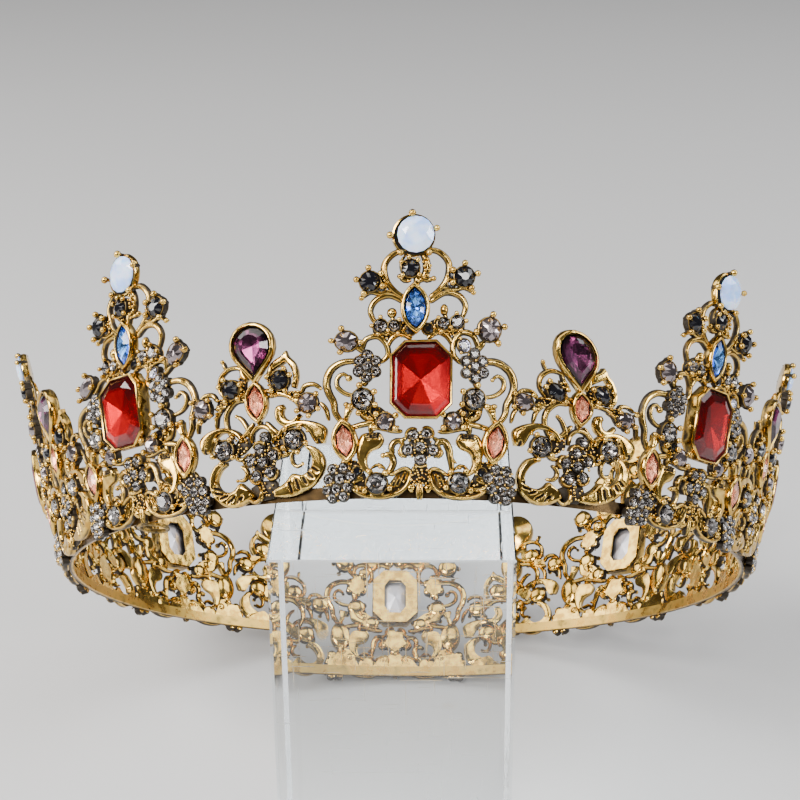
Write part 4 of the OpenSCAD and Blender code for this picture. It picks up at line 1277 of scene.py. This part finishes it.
class CROWN_OT_hoop_and_block(bpy.types.Operator):
    """Finishes the hoop, whose shape comes from the part, and builds the clear block"""
    bl_idname = "crown.hoop_and_block"
    bl_label = "Hoop and block"

    def execute(self, context):
        wall = Wall(context.scene.crown_sizes)
        dress("base_hoop", hoop_bronze(context.scene.crown_colours, wall))
        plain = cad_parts["display_block"]
        corners = [plain.matrix_world @ v.co for v in plain.data.vertices]
        x, y, z = (np.array([c[i] for c in corners]) / MM for i in range(3))
        outline, edge, top = cut_corners(x.max() - x.min(), y.max() - y.min(), 0.6), 0.35, z.max()
        block = Pieces(wall)
        rows = ((-edge, 0.0), (0.0, edge), (0.0, top - edge), (-edge, top))
        block.stack([(grow(outline, d), h, 0.0) for d, h in rows], lambda p: p)
        points = np.vstack(block.points) * MM
        make_piece("clear_block", block, points, [clear_block()], ["display_block"])
        return {"FINISHED"}


# ---------- the stage ----------

# What the lamps are turned to, in metres
CROWN_MIDDLE, CROWN_BACK = (0, 0.05, 0.10), (0, 0.08, 0.05)
# Lamps: name, place, aim, width and height, their share of the key or fill light, and tint
LAMPS = (
    ("key", (-0.50, -0.50, 0.80), CROWN_MIDDLE, (0.42, 0.42), "key_power", 1.45, (1.0, 0.97, 0.92)),
    ("over", (0.0, 0.10, 0.95), CROWN_BACK, (0.80, 0.45), "key_power", 0.3, (1.0, 0.98, 0.92)),
    ("front", (0.40, -0.80, 0.75), CROWN_MIDDLE, (0.16, 0.16), "fill_power", 0.6, (1.0, 0.98, 0.95)),
    ("left", (-0.75, -0.15, 0.30), CROWN_MIDDLE, (0.14, 0.40), "fill_power", 1.0, (1.0, 0.98, 0.95)),
    ("right", (0.75, -0.20, 0.40), CROWN_MIDDLE, (0.16, 0.40), "fill_power", 1.2, (0.93, 0.96, 1.0)),
    ("back", (-0.70, 0.35, 0.60), CROWN_BACK, (0.55, 0.55), "fill_power", 1.3, (1.0, 0.98, 0.95)),
    ("back", (0.70, 0.35, 0.60), CROWN_BACK, (0.55, 0.55), "fill_power", 1.3, (0.96, 0.98, 1.0)),
)
# The camera, worked out from the crown's own points: place in millimetres, angles and focal length
VIEW_PLACE = (9.208, -355.606, 310.35)
VIEW_DOWN, VIEW_ASIDE, VIEW_ROLL = math.radians(26.30), math.radians(-1.24), math.radians(0.58)
VIEW_LENS = 86.87
FLOOR_REACH, FLOOR_HEIGHT = 8.0, -0.0002


class CROWN_OT_stage(bpy.types.Operator):
    """Sets the plain floor, the soft lights and the camera"""
    bl_idname = "crown.stage"
    bl_label = "Stage"

    def execute(self, context):
        stage = context.scene.crown_stage
        mesh = bpy.data.meshes.new("floor")
        mesh.from_pydata([(x * FLOOR_REACH, y * FLOOR_REACH, FLOOR_HEIGHT)
                          for x, y in ((-1, -1), (1, -1), (1, 1), (-1, 1))], [], [(0, 1, 2, 3)])
        mesh.materials.append(pale_floor(stage.floor))
        floor = bpy.data.objects.new("floor", mesh)
        context.scene.collection.objects.link(floor)
        world = bpy.data.worlds.new("Soft room")
        context.scene.world = world
        world.use_nodes = True
        back = world.node_tree.nodes["Background"]
        back.inputs["Color"].default_value = (0.93, 0.95, 1.0, 1)
        back.inputs["Strength"].default_value = stage.sky
        for name, place, aim, size, light, share, tint in LAMPS:
            lamp(name, place, aim, size, getattr(stage, light) * share, tint)
        camera()
        return {"FINISHED"}


def stand(name, data, place, *axes):
    """A lamp or camera at a place in metres, with its own axes."""
    ob = bpy.data.objects.new(name, data)
    bpy.context.scene.collection.objects.link(ob)
    ob.matrix_world = Matrix([[*r] for r in np.vstack([np.column_stack([*axes, place]), [0, 0, 0, 1]])])
    return ob


def lamp(name, place, aim, size, power, tint):
    light = bpy.data.lights.new(name, "AREA")
    light.shape = "RECTANGLE"
    light.size, light.size_y = size
    light.energy = power
    light.color = tint
    z = np.array(place) - np.array(aim)
    z /= np.linalg.norm(z)
    x = np.cross((0, 0, 1), z)
    x /= np.linalg.norm(x)
    stand(name, light, place, x, np.cross(z, x), z)


def camera():
    """The photograph's view."""
    level_ahead = np.array([math.sin(VIEW_ASIDE), math.cos(VIEW_ASIDE), 0])
    ahead = level_ahead * math.cos(VIEW_DOWN) - np.array([0, 0, math.sin(VIEW_DOWN)])
    right = np.cross(ahead, (0, 0, 1))
    right /= np.linalg.norm(right)
    below = np.cross(ahead, right)
    c, s = math.cos(VIEW_ROLL), math.sin(VIEW_ROLL)
    right, below = c * right + s * below, c * below - s * right
    data = bpy.data.cameras.new("camera")
    data.sensor_width = 36.0
    data.lens = VIEW_LENS
    data.clip_start, data.clip_end = 0.01, 20
    bpy.context.scene.camera = stand("camera", data, np.array(VIEW_PLACE) * MM, right, -below, -ahead)


class CROWN_PT_panel(bpy.types.Panel):
    """Lists the crown's pieces in build order"""
    bl_idname = "CROWN_PT_panel"
    bl_label = "Baroque crown"
    bl_space_type = "VIEW_3D"
    bl_region_type = "UI"
    bl_category = "Crown"

    def draw(self, context):
        for group in (context.scene.crown_sizes, context.scene.crown_colours, context.scene.crown_stage):
            for key in group.bl_rna.properties.keys():
                if key not in ("rna_type", "name"):
                    self.layout.prop(group, key)
        for operator in OPERATORS:
            self.layout.operator(operator.bl_idname)


OPERATORS = (CROWN_OT_tall_peaks, CROWN_OT_low_peaks, CROWN_OT_main_stones, CROWN_OT_small_stones,
             CROWN_OT_hoop_and_block, CROWN_OT_stage)
GROUPS = {"crown_sizes": CrownSizes, "crown_colours": CrownColours, "crown_stage": CrownStage}


def register():
    for c in (*GROUPS.values(), *OPERATORS, CROWN_PT_panel):
        bpy.utils.register_class(c)
    for key, group in GROUPS.items():
        setattr(bpy.types.Scene, key, bpy.props.PointerProperty(type=group))


def unregister():
    for key in GROUPS:
        delattr(bpy.types.Scene, key)
    for c in (CROWN_PT_panel, *reversed(OPERATORS), *reversed(list(GROUPS.values()))):
        bpy.utils.unregister_class(c)


def main():
    register()
    bpy.ops.crown.tall_peaks()
    bpy.ops.crown.low_peaks()
    bpy.ops.crown.main_stones()
    bpy.ops.crown.small_stones()
    bpy.ops.crown.hoop_and_block()
    bpy.ops.crown.stage()


if __name__ == "__main__":
    main()
